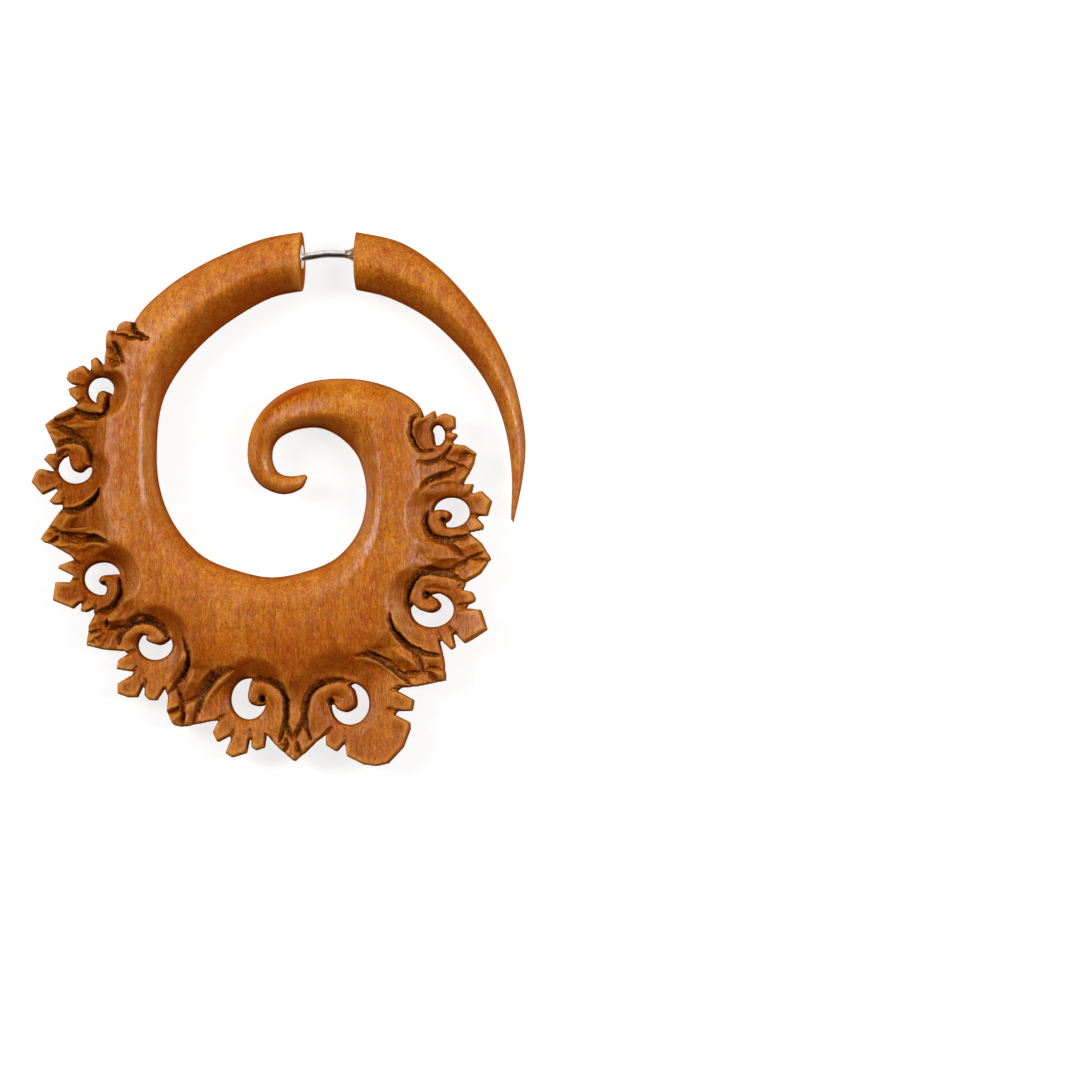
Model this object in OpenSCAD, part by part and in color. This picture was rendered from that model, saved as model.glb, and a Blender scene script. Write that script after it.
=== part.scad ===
// Wooden ear hanger: a carved spiral, and a taper on a thin pin that closes it.
// Millimetres. It lies on its side, with the carved face up. All tables are in the plane of that
// face: x to the right, y up, from the middle of the outline.

/* [Wood] */
// Thickness of the board at its highest line
board_t = 6.6; // [6.4:0.1:7]
// Thickness of the pierced border
border_t = 3.0; // [2.8:0.1:3.4]
// Width of the carved lines on the fans
line_w = 0.9; // [0.5:0.1:1.2]

/* [Pin and sleeve] */
// Diameter of the pin
pin_d = 0.85; // [0.7:0.05:0.95]
// Height of the pin's axis above the middle of the outline
pin_y = 26.8; // [26.6:0.1:27]
// Depth of the pin in the sleeve
pin_in_sleeve = 4.5; // [4:0.1:4.6]
// Depth of the pin in the taper
pin_in_taper = 5.0; // [3:0.5:6]
// Outer diameter of the sleeve
sleeve_d = 2.6; // [2:0.1:2.7]
// Length of the sleeve
sleeve_len = 4.8; // [4.6:0.1:5]
// Diameter of the glue collar where it leaves the taper
collar_d = 1.6; // [1.4:0.1:1.8]
// Thickness of the glue at the collar's small end
collar_lip = 0.04; // [0.04:0.01:0.1]
// Length of the glue collar outside the taper
collar_out = 1.0; // [0.6:0.1:1.2]
// Depth of the glue collar in the taper
collar_in = 1.2; // [0.8:0.1:2]

/* [Fits] */
// Radial clearance of the sleeve in the wood, and of the pin in the sleeve
running_gap = 0.03; // [0.02:0.01:0.06]
// Radial clearance of the glued pin and collar
glue_gap = 0.015; // [0.01:0.005:0.03]

/* [Hidden] */

socket_x = 2.8;        // face of the shaft's end
taper_x = 8.8;         // face of the taper
round_fn = 48;
quarter_steps = 5;     // corners of a section in each quarter
half_step = 45 / quarter_steps;
rings_per_row = 2;
arc_steps = 14;        // sides of the round stretch of a scroll hole
flare_steps = 6;       // cones that make the flare of the glue collar
line_lift = 0.1;       // height of a cutter's middle above the border's face
past = 1;              // how far a cut runs past the wood
first_border_row = 5;  // the rows of the spiral that the border stands on
last_border_row = 20;
border_reach = 0.3;    // and how far in it reaches, as a share of the spiral's width
rim_step = 0.05;       // how much thinner than the border the spiral's outer edge may get

// The spiral from its socket to the tip of its curl, a row for each section:
// outer edge x, y; inner edge x, y; crest, as a share of the way from the inner to the outer edge;
// half thickness at the crest; half thickness at the outer edge.
full = board_t / 2;
rim = border_t / 2 - rim_step;
SPIRAL = [
    [socket_x, 29.6, socket_x, 23.0, 0.50, full, 0.0],
    [-1.4, 28.9, -0.6, 22.3, 0.50, full, 0.0],
    [-5.5, 27.4, -4.2, 20.4, 0.50, full, 0.0],
    [-9.2, 25.6, -7.5, 18.0, 0.50, full, 0.0],
    [-12.5, 23.4, -10.3, 15.1, 0.50, full, 0.0],
    [-15.6, 20.2, -12.2, 12.2, 0.48, full, 0.3],
    [-18.0, 14.4, -13.1, 9.4, 0.45, full, rim],
    [-18.8, 8.0, -13.4, 5.6, 0.42, full, rim],
    [-19.2, 1.6, -13.2, 2.2, 0.38, full, rim],
    [-18.6, -4.4, -12.3, -0.9, 0.34, full, rim],
    [-16.6, -10.0, -10.6, -3.8, 0.30, full, rim],
    [-12.6, -15.0, -8.0, -6.3, 0.28, full, rim],
    [-7.0, -18.6, -4.4, -8.0, 0.26, full, rim],
    [-0.4, -19.9, -0.6, -8.8, 0.26, full, rim],
    [6.4, -19.0, 3.2, -8.1, 0.26, full, rim],
    [11.6, -15.8, 6.4, -6.5, 0.28, full, rim],
    [14.7, -10.8, 8.7, -4.0, 0.32, full, rim],
    [16.0, -5.0, 9.7, -1.2, 0.36, full, rim],
    [16.3, 1.0, 9.8, 1.6, 0.40, full, rim],
    [16.2, 6.0, 9.1, 4.3, 0.44, full, rim],
    [15.9, 10.0, 7.9, 6.0, 0.48, full, 0.4],
    [12.7, 12.3, 6.2, 7.3, 0.50, full, 0.0],
    [8.1, 13.35, 4.4, 7.9, 0.50, full, 0.0],
    [3.2, 12.9, 2.2, 7.7, 0.50, 2.9, 0.0],
    [-0.6, 10.9, 0.4, 6.9, 0.50, 2.4, 0.0],
    [-2.8, 7.9, -0.4, 5.8, 0.50, 2.0, 0.0],
    [-3.3, 4.4, -0.5, 4.4, 0.50, 1.7, 0.0],
    [-2.1, 1.8, 0.0, 3.2, 0.50, 1.5, 0.0],
    [0.4, 0.6, 0.9, 2.7, 0.50, 1.3, 0.0],
    [2.5, 1.1, 1.9, 2.7, 0.50, 1.0, 0.0],
    [3.3, 2.2, 2.7, 2.9, 0.50, 0.5, 0.0]];

// The taper from its face to its tip: outer edge x, y; inner edge x, y; then as above.
TAPER = [
    [taper_x, 29.5, taper_x, 23.1, 0.50, 3.20, 0.0],
    [13.5, 28.4, 12.4, 22.2, 0.50, 3.15, 0.0],
    [17.6, 25.8, 16.4, 20.1, 0.50, 2.90, 0.0],
    [20.9, 22.4, 19.5, 17.4, 0.50, 2.60, 0.0],
    [23.6, 18.7, 22.0, 14.5, 0.50, 2.25, 0.0],
    [25.6, 14.8, 23.8, 11.6, 0.50, 1.85, 0.0],
    [26.8, 10.9, 25.0, 8.6, 0.50, 1.45, 0.0],
    [27.5, 6.4, 25.7, 5.4, 0.50, 1.05, 0.0],
    [27.2, 2.2, 26.0, 2.0, 0.50, 0.70, 0.0],
    [26.2, -2.6, 25.9, -2.2, 0.50, 0.25, 0.0]];

// The scroll holes, from the upper left round to the upper right. A hole is a stretch of an oval,
// closed by the finger of wood that curls into it: middle x, y; half width; half height; the angles
// at which the stretch starts and ends; corners of the finger from its end back to its start.
HOLES = [
    [-19.55, 12.15, 1.50, 1.45, -22, 256, [[-19.75, 11.1], [-19.75, 11.8], [-19.45, 12.05], [-18.8, 11.9]]],
    [-22.40, 3.55, 1.93, 1.63, 112, 365, [[-21.1, 3.7], [-21.8, 3.15], [-22.5, 3.3], [-22.9, 4.0]]],
    [-19.35, -8.60, 2.10, 1.80, 15, 280,
        [[-18.8, -9.6], [-19.5, -9.2], [-19.65, -8.7], [-19.2, -8.3], [-18.4, -8.2]]],
    [-13.50, -15.90, 1.95, 1.68, 140, 393,
        [[-12.1, -15.4], [-12.9, -15.9], [-13.7, -15.8], [-14.4, -15.4], [-14.35, -15.0]]],
    [-3.10, -21.90, 2.02, 2.27, 78, 350,
        [[-1.6, -22.65], [-2.3, -22.7], [-2.9, -22.4], [-3.1, -21.7], [-3.0, -20.8]]],
    [8.10, -22.50, 2.15, 2.30, 185, 439,
        [[8.1, -20.5], [8.6, -21.1], [8.8, -22.7], [7.7, -23.4], [6.8, -23.1], [6.4, -22.6]]],
    [17.20, -12.20, 2.40, 1.90, 174, 436,
        [[17.1, -10.55], [17.7, -11.0], [18.1, -11.6], [17.8, -12.2], [17.0, -12.5], [15.9, -12.2],
         [15.1, -11.55]]],
    [19.30, -1.50, 2.05, 1.65, -104, 175,
        [[18.1, -1.2], [18.9, -1.3], [19.3, -1.8], [19.0, -2.4], [18.6, -2.7]]],
    [17.80, 7.00, 0.80, 1.12, -115, 150, [[17.3, 7.2], [17.35, 6.7]]]];

// The edge of the border, going round it against the clock. Each row holds the corners of one
// pointed fan or of one tooth of a scroll, and a new tooth starts at the foot of the last one.
BORDER_EDGE = [
    [[-15.8, 19.7], [-16.9, 19.8], [-17.8, 19.2], [-18.7, 18.8], [-19.0, 16.6], [-19.1, 15.1]],
    [[-19.4, 15.1], [-20.1, 15.9], [-20.7, 15.5], [-20.6, 14.7]],
    [[-20.8, 14.4], [-21.6, 15.0], [-23.2, 14.2], [-23.4, 13.4], [-22.9, 12.9]],
    [[-22.3, 12.7], [-23.2, 12.4], [-23.0, 11.7], [-22.4, 11.1]],
    [[-22.2, 10.8], [-22.6, 10.4], [-24.5, 9.4], [-25.8, 8.4], [-24.5, 5.6]],
    [[-24.7, 5.3], [-25.4, 5.2], [-25.9, 4.6], [-25.0, 3.6]],
    [[-24.8, 3.3], [-26.3, 3.6], [-26.8, 3.2], [-27.3, 2.1], [-26.1, 0.7], [-24.6, 1.4]],
    [[-24.4, 1.1], [-25.3, 0.0], [-24.9, -0.4], [-23.9, -0.4]],
    [[-23.9, -0.8], [-26.3, -4.2], [-25.8, -4.6], [-25.1, -4.8], [-22.9, -6.1]],
    [[-22.6, -6.5], [-24.2, -7.1], [-24.3, -7.5], [-22.6, -8.3]],
    [[-23.0, -8.9], [-24.6, -8.9], [-24.9, -11.0], [-22.7, -11.9], [-21.9, -11.2]],
    [[-21.7, -11.5], [-21.8, -12.2], [-21.2, -12.3], [-20.4, -11.9]],
    [[-20.3, -12.6], [-20.9, -13.8], [-21.1, -16.0], [-19.4, -16.4], [-17.0, -16.6]],
    [[-16.6, -16.9], [-17.6, -17.6], [-17.8, -18.6], [-16.0, -18.9]],
    [[-16.1, -19.2], [-17.7, -20.2], [-17.7, -21.3], [-16.6, -21.7], [-15.5, -21.7], [-14.9, -20.4]],
    [[-14.7, -20.8], [-14.7, -21.5], [-14.2, -22.0], [-13.4, -22.1], [-12.5, -20.7]],
    [[-12.1, -21.7], [-12.2, -23.4], [-11.4, -24.8], [-10.6, -25.0], [-7.5, -24.4]],
    [[-6.5, -24.3], [-7.1, -25.6], [-6.6, -26.7], [-5.3, -26.0]],
    [[-5.1, -26.3], [-5.7, -27.9], [-5.0, -28.4], [-3.4, -27.9], [-3.1, -26.5]],
    [[-2.9, -26.4], [-2.8, -27.3], [-2.3, -27.6], [-1.4, -27.3], [-1.2, -25.8]],
    [[-0.3, -26.9], [1.9, -28.8], [3.0, -28.0], [4.4, -26.6]],
    [[5.4, -25.9], [5.5, -27.1], [6.6, -27.8], [7.4, -26.9]],
    [[7.6, -27.2], [7.8, -28.3], [9.6, -29.2], [11.0, -29.4], [12.3, -29.1], [14.0, -27.3],
     [14.8, -25.2], [14.7, -24.5], [13.1, -23.7]],
    [[13.4, -23.4], [15.0, -23.3], [15.2, -22.1], [13.4, -21.1]],
    [[13.8, -20.8], [15.6, -20.6], [18.7, -20.0], [18.5, -17.6], [18.0, -15.6]],
    [[18.3, -15.7], [19.3, -16.6], [19.8, -16.3], [19.5, -15.0]],
    [[19.8, -14.9], [20.8, -15.9], [23.3, -14.4], [22.6, -12.2], [21.0, -12.0]],
    [[21.2, -11.7], [21.9, -11.3], [22.0, -10.9], [21.6, -10.2], [20.6, -10.0]],
    [[21.0, -9.2], [22.5, -8.2], [23.7, -6.6], [23.3, -5.9], [22.5, -4.7], [21.9, -4.2]],
    [[21.4, -3.7], [22.8, -3.4], [22.9, -2.9], [22.2, -2.1]],
    [[22.4, -1.9], [23.3, -1.9], [23.8, -0.2], [22.7, 0.9], [21.8, 0.6]],
    [[21.6, 0.8], [21.8, 1.7], [20.7, 1.6]],
    [[20.8, 2.0], [21.4, 3.0], [22.1, 5.0], [20.8, 5.9], [19.6, 6.1]],
    [[19.5, 6.3], [20.0, 7.0], [19.9, 7.2], [19.3, 7.4]],
    [[19.4, 7.6], [19.8, 7.7], [19.7, 9.1], [18.6, 9.5], [17.7, 9.0]],
    [[17.5, 9.8], [16.2, 8.9]]];

// The carved lines on the fans: from x, y to x, y.
LINES = [
    [-16.2, 18.0, -19.6, 18.6], [-16.8, 15.0, -18.2, 17.4],
    [-19.8, 9.2, -24.2, 9.6], [-20.6, 6.0, -24.9, 8.6],
    [-20.0, -0.4, -24.4, -1.4], [-19.4, -4.0, -25.8, -4.0],
    [-17.6, -14.1, -21.6, -14.5], [-17.6, -14.2, -20.8, -15.9],
    [-11.0, -20.0, -10.2, -25.4], [-8.0, -21.4, -9.4, -25.2],
    [0.9, -23.0, 1.7, -28.6], [3.3, -23.0, 2.3, -28.4],
    [13.4, -18.9, 18.0, -18.6], [15.2, -16.6, 17.8, -20.2],
    [18.9, -4.8, 21.1, -6.4], [19.6, -8.0, 23.8, -5.8],
    [15.9, 4.0, 21.8, 3.0], [18.0, 2.6, 21.8, 5.0]];

function curve(a, b, c, d, t) = 0.5 * (2 * b + (c - a) * t + (2 * a - 5 * b + 4 * c - d) * t * t
    + (3 * b - a - 3 * c + d) * t * t * t);
function row_at(table, u) =
    let (last = len(table) - 1, i = min(floor(u), last - 1))
    curve(table[max(i - 1, 0)], table[i], table[i + 1], table[min(i + 2, last)], u - i);

// One side of a section, from the inner edge over the crest to the outer edge, as share and height
function section_side(crest, top, edge) = concat(
    [for (k = [0 : quarter_steps - 1]) let (a = (2 * k + 1) * half_step)
        [crest * (1 - cos(a) / cos(half_step)), top * sin(a) / cos(half_step)]],
    [for (k = [quarter_steps - 1 : -1 : 0]) let (a = (2 * k + 1) * half_step)
        [crest + (1 - crest) * cos(a) / cos(half_step), edge + (top - edge) * sin(a) / cos(half_step)]]);
function section(row) =
    let (side = section_side(row[4], min(row[5], full), max(row[6], 0)), n = len(side),
        outer = [row[0], row[1]], inner = [row[2], row[3]])
    concat(
        [for (s = side) concat(inner + (outer - inner) * s[0], [s[1]])],
        [for (k = [n - 1 : -1 : 0]) concat(inner + (outer - inner) * side[k][0], [-side[k][1]])]);

module swept(table) {
    rings = (len(table) - 1) * rings_per_row;
    n = 4 * quarter_steps;
    points = [for (r = [0 : rings]) each section(row_at(table, r / rings_per_row))];
    sides = [for (r = [0 : rings - 1]) for (k = [0 : n - 1])
        let (a = r * n + k, b = r * n + (k + 1) % n) each [[a, b + n, b], [a, a + n, b + n]]];
    polyhedron(points, concat(sides,
        [[for (k = [0 : n - 1]) k]], [[for (k = [n - 1 : -1 : 0]) rings * n + k]]));
}

function scroll_hole(row) = concat(
    [for (k = [0 : arc_steps]) let (a = row[4] + (row[5] - row[4]) * k / arc_steps)
        [row[0] + row[2] * cos(a), row[1] + row[3] * sin(a)]],
    row[6]);

// The border reaches in under the spiral's outer edge
module border() {
    under = [for (r = [last_border_row : -1 : first_border_row])
        let (outer = [SPIRAL[r][0], SPIRAL[r][1]], inner = [SPIRAL[r][2], SPIRAL[r][3]])
        outer + (inner - outer) * border_reach];
    linear_extrude(border_t, center = true)
        polygon(concat([for (row = BORDER_EDGE) each row], under));
}

module scroll_opening(row) {
    linear_extrude(board_t + 2 * past, center = true) polygon(scroll_hole(row));
}

module carved_line(row) {
    run = [row[2] - row[0], row[3] - row[1]];
    side = line_w / sqrt(2) + line_lift * sqrt(2);
    for (face = [-1, 1])
        translate([row[0], row[1], face * (border_t / 2 + line_lift)])
            rotate([0, 0, atan2(run[1], run[0])]) rotate([45, 0, 0])
                translate([0, -side / 2, -side / 2]) cube([norm(run), side, side]);
}

module along_x(x, y, length, r_start, r_end)
    translate([x, y, 0]) rotate([0, 90, 0]) cylinder(h = length, r1 = r_start, r2 = r_end, $fn = round_fn);

module carved_spiral() {
    color("peru")
    translate([0, 0, full])
    difference() {
        union() {
            swept(SPIRAL);
            border();
        }
        for (h = HOLES) scroll_opening(h);
        for (l = LINES) carved_line(l);
        bore_r = sleeve_d / 2 + running_gap;
        bore_len = sleeve_len + running_gap;
        along_x(socket_x - bore_len, pin_y, bore_len + past, bore_r, bore_r);
    }
}

module socket_sleeve() {
    bore_r = pin_d / 2 + running_gap;
    bore_len = pin_in_sleeve + running_gap;
    color("silver")
    translate([0, 0, full])
    difference() {
        along_x(socket_x - sleeve_len, pin_y, sleeve_len, sleeve_d / 2, sleeve_d / 2);
        along_x(socket_x - bore_len, pin_y, bore_len + past, bore_r, bore_r);
    }
}

module ear_pin() {
    length = pin_in_sleeve + taper_x - socket_x + pin_in_taper;
    color("lightgray")
    translate([0, 0, full])
    along_x(socket_x - pin_in_sleeve, pin_y, length, pin_d / 2, pin_d / 2);
}

// The glue stands up against the taper in a hollow curve
module glue_collar() {
    inner_r = pin_d / 2 + glue_gap;
    lip_r = inner_r + collar_lip;
    flare = [for (k = [0 : flare_steps]) let (a = 90 * k / flare_steps)
        [collar_d / 2 - (collar_d / 2 - lip_r) * sin(a), collar_out * (1 - cos(a))]];
    color("saddlebrown")
    translate([taper_x, pin_y, full]) rotate([0, -90, 0])
    rotate_extrude($fn = round_fn)
        polygon(concat([[inner_r, -collar_in], [collar_d / 2, -collar_in]], flare, [[inner_r, collar_out]]));
}

module taper() {
    pin_r = pin_d / 2 + glue_gap;
    collar_r = collar_d / 2 + glue_gap;
    color("peru")
    translate([0, 0, full])
    difference() {
        swept(TAPER);
        along_x(taper_x - past, pin_y, past + collar_in, collar_r, collar_r);
        along_x(taper_x - past, pin_y, past + pin_in_taper + glue_gap, pin_r, pin_r);
    }
}

carved_spiral();
socket_sleeve();
ear_pin();
glue_collar();
taper();
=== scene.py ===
"""Looks of a wooden ear hanger: a carved spiral with a pierced scroll border, and a taper on a pin.

The spiral is carved here as a height map over the plane of the board, the same on both faces, and
turned into a closed mesh. The taper is swept along its curve. The metal and glue pieces are turned
as on a lathe. Tables are in millimetres, in the plane of the carved face, as in the part's source.
"""

import math

import bpy
import numpy as np
import openvdb
from mathutils import Matrix, Vector


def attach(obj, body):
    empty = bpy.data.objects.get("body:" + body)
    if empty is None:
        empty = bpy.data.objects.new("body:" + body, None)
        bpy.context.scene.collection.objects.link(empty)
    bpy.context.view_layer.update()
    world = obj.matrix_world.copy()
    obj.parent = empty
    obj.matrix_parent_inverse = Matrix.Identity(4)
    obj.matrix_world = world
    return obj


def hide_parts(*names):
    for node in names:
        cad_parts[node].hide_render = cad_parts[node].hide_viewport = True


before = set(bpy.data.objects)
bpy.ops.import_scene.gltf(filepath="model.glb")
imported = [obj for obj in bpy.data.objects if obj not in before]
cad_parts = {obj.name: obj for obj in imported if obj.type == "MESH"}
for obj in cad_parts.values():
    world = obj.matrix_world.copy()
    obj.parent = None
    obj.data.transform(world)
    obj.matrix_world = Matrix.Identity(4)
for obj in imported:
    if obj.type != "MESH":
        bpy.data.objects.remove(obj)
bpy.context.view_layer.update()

MM = 0.001
FULL = 3.3          # half the thickness of the board, and the height of its middle above the floor
SOCKET_X = 2.8      # face of the shaft's end
TAPER_X = 8.8       # face of the taper
PIN_Y = 26.8        # height of the pin's axis above the middle of the outline
PIN_R = 0.425
SLEEVE_R = 1.3
SLEEVE_LEN = 4.8
PIN_IN_SLEEVE = 4.5
PIN_IN_TAPER = 5.0
PIN_BEND = 0.34     # how far the pin is bent off its axis
COLLAR_R = 1.10
COLLAR_OUT = 1.3

# The spiral from its socket to the tip of its curl, a row for each section: outer edge x, y;
# inner edge x, y; crest, as a share of the way from the inner to the outer edge; half thickness at
# the crest; at the outer edge; how square the section is on its inner and on its outer side (2 is
# an oval); half thickness of the border where it leaves the spiral.
SPIRAL = [
    [SOCKET_X, 29.6, SOCKET_X, 23.0, 0.46, 3.30, 0.0, 1.9, 1.9, 1.5],
    [-1.4, 28.9, -0.6, 22.3, 0.45, 3.30, 0.0, 1.6, 1.7, 1.5],
    [-5.5, 27.4, -4.2, 20.4, 0.45, 3.30, 0.0, 1.5, 1.6, 1.5],
    [-9.2, 25.6, -7.5, 18.0, 0.44, 3.30, 0.0, 1.5, 1.6, 1.5],
    [-12.5, 23.4, -10.3, 15.1, 0.43, 3.30, 0.0, 1.5, 1.8, 1.5],
    [-15.6, 20.2, -12.2, 12.2, 0.42, 3.30, 0.3, 1.6, 2.1, 1.6],
    [-18.0, 14.4, -13.1, 9.4, 0.38, 3.30, 2.0, 1.75, 2.8, 2.5],
    [-18.8, 8.0, -13.4, 5.6, 0.31, 3.30, 2.3, 1.75, 3.2, 2.8],
    [-19.2, 1.6, -13.2, 2.2, 0.33, 3.30, 2.3, 1.75, 3.2, 2.8],
    [-18.6, -4.4, -12.3, -0.9, 0.37, 3.30, 2.3, 1.75, 3.0, 2.8],
    [-16.6, -10.0, -10.6, -3.8, 0.35, 3.30, 2.3, 1.75, 2.8, 2.7],
    [-12.6, -15.0, -8.0, -6.3, 0.33, 3.30, 2.2, 1.75, 2.35, 2.6],
    [-7.0, -18.6, -4.4, -7.75, 0.30, 3.30, 2.1, 1.75, 2.1, 2.5],
    [-0.4, -19.9, -0.6, -8.5, 0.28, 3.30, 2.1, 1.75, 2.0, 2.5],
    [6.4, -19.0, 3.2, -7.85, 0.29, 3.30, 2.1, 1.75, 2.1, 2.5],
    [11.6, -15.8, 6.4, -6.5, 0.31, 3.30, 2.2, 1.75, 2.35, 2.6],
    [14.7, -10.8, 8.7, -4.0, 0.33, 3.30, 2.3, 1.75, 2.6, 2.7],
    [16.0, -5.0, 9.7, -1.2, 0.35, 3.30, 2.3, 1.75, 3.0, 2.8],
    [16.3, 1.0, 9.8, 1.6, 0.37, 3.30, 2.3, 1.75, 3.0, 2.8],
    [16.2, 6.0, 9.1, 4.3, 0.40, 3.30, 2.0, 1.75, 2.8, 2.5],
    [15.9, 10.0, 7.9, 6.0, 0.43, 3.30, 0.8, 1.75, 2.4, 1.6],
    [12.7, 12.3, 6.2, 7.3, 0.38, 3.30, 0.0, 1.8, 2.3, 1.5],
    [8.1, 13.35, 4.4, 7.9, 0.31, 3.30, 0.0, 1.8, 2.6, 1.5],
    [3.2, 12.9, 2.2, 7.7, 0.28, 2.90, 0.0, 1.8, 3.0, 1.5],
    [-0.6, 10.9, 0.4, 6.9, 0.29, 2.45, 0.0, 1.8, 3.1, 1.5],
    [-2.8, 7.9, -0.4, 5.8, 0.34, 2.05, 0.0, 1.8, 2.8, 1.5],
    [-3.3, 4.4, -0.5, 4.4, 0.40, 1.75, 0.0, 1.8, 2.3, 1.5],
    [-2.1, 1.8, 0.0, 3.2, 0.46, 1.50, 0.0, 1.9, 2.0, 1.5],
    [0.4, 0.6, 0.9, 2.7, 0.50, 1.30, 0.0, 2.0, 2.0, 1.5],
    [2.6, 1.15, 2.0, 2.65, 0.50, 1.00, 0.0, 2.0, 2.0, 1.5],
    [3.4, 2.5, 3.05, 2.85, 0.50, 0.45, 0.0, 2.0, 2.0, 1.5]]

# The taper from its face to its tip, in the same columns but the last.
TAPER = [
    [TAPER_X, 29.5, TAPER_X, 23.1, 0.46, 3.20, 0.0, 1.9, 1.9],
    [13.5, 28.4, 12.4, 22.2, 0.46, 3.15, 0.0, 1.5, 1.6],
    [17.6, 25.8, 16.4, 20.1, 0.46, 2.90, 0.0, 1.5, 1.6],
    [20.9, 22.4, 19.5, 17.4, 0.46, 2.60, 0.0, 1.5, 1.6],
    [23.6, 18.7, 22.0, 14.5, 0.48, 2.25, 0.0, 1.5, 1.6],
    [25.6, 14.8, 23.8, 11.6, 0.52, 1.85, 0.0, 1.7, 1.7],
    [26.8, 10.9, 25.0, 8.6, 0.56, 1.45, 0.0, 1.7, 1.7],
    [27.5, 6.4, 25.7, 5.4, 0.58, 1.05, 0.0, 1.7, 1.7],
    [27.2, 2.2, 26.0, 2.0, 0.55, 0.70, 0.0, 1.8, 1.8],
    [26.2, -2.6, 25.9, -2.2, 0.50, 0.25, 0.0, 2.0, 2.0]]

# The scrolls, from the upper left round to the upper right. A scroll's hole is a stretch of an
# oval, closed by the finger of wood that curls into it: middle x, y; half width; half height; the
# angles at which the stretch starts and ends; corners of the finger from its end to its start.
HOLES = [
    [-19.55, 12.15, 1.50, 1.45, -22, 256,
        [[-20.0, 11.15], [-19.88, 11.6], [-19.6, 11.98], [-19.15, 12.1], [-18.6, 11.9]]],
    [-22.40, 3.55, 1.93, 1.63, 112, 365, [[-21.1, 3.7], [-21.8, 3.15], [-22.5, 3.3], [-22.9, 4.0]]],
    [-19.35, -8.60, 2.10, 1.80, 15, 280,
        [[-18.8, -9.6], [-19.5, -9.2], [-19.65, -8.7], [-19.2, -8.3], [-18.4, -8.2]]],
    [-13.50, -15.90, 1.95, 1.68, 140, 393,
        [[-12.1, -15.4], [-12.9, -15.9], [-13.7, -15.8], [-14.4, -15.4], [-14.35, -15.0]]],
    [-3.10, -21.90, 2.02, 2.27, 78, 350,
        [[-1.6, -22.65], [-2.3, -22.7], [-2.9, -22.4], [-3.1, -21.7], [-3.0, -20.8]]],
    [8.10, -22.50, 2.15, 2.30, 185, 439,
        [[8.1, -20.5], [8.6, -21.1], [8.8, -22.7], [7.7, -23.4], [6.8, -23.1], [6.4, -22.6]]],
    [17.20, -12.20, 2.40, 1.90, 174, 436,
        [[17.1, -10.55], [17.7, -11.0], [18.1, -11.6], [17.8, -12.2], [17.0, -12.5], [15.9, -12.2],
         [15.1, -11.55]]],
    [19.30, -1.50, 2.05, 1.65, -104, 175,
        [[18.1, -1.2], [18.9, -1.3], [19.3, -1.8], [19.0, -2.4], [18.6, -2.7]]],
    [17.80, 7.00, 0.80, 1.12, -115, 150, [[17.3, 7.2], [17.35, 6.7]]]]

# The hollow that each scroll lies in, cut into the shoulder of the spiral: middle x, y; radius of
# its floor; radius at which it runs out; how hollow its side is.
COVES = [
    [-19.6, 12.1, 1.9, 3.6, 1.2],
    [-22.3, 3.2, 2.5, 4.4, 1.1],
    [-19.4, -8.8, 2.6, 4.9, 1.1],
    [-13.6, -16.2, 2.6, 5.0, 1.2],
    [-2.6, -22.2, 2.9, 5.4, 1.1],
    [7.2, -22.4, 3.2, 6.6, 1.2],
    [17.4, -12.0, 3.0, 5.6, 1.1],
    [19.3, -2.0, 2.7, 5.2, 1.0],
    [17.7, 7.1, 1.9, 2.9, 0.9]]

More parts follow.
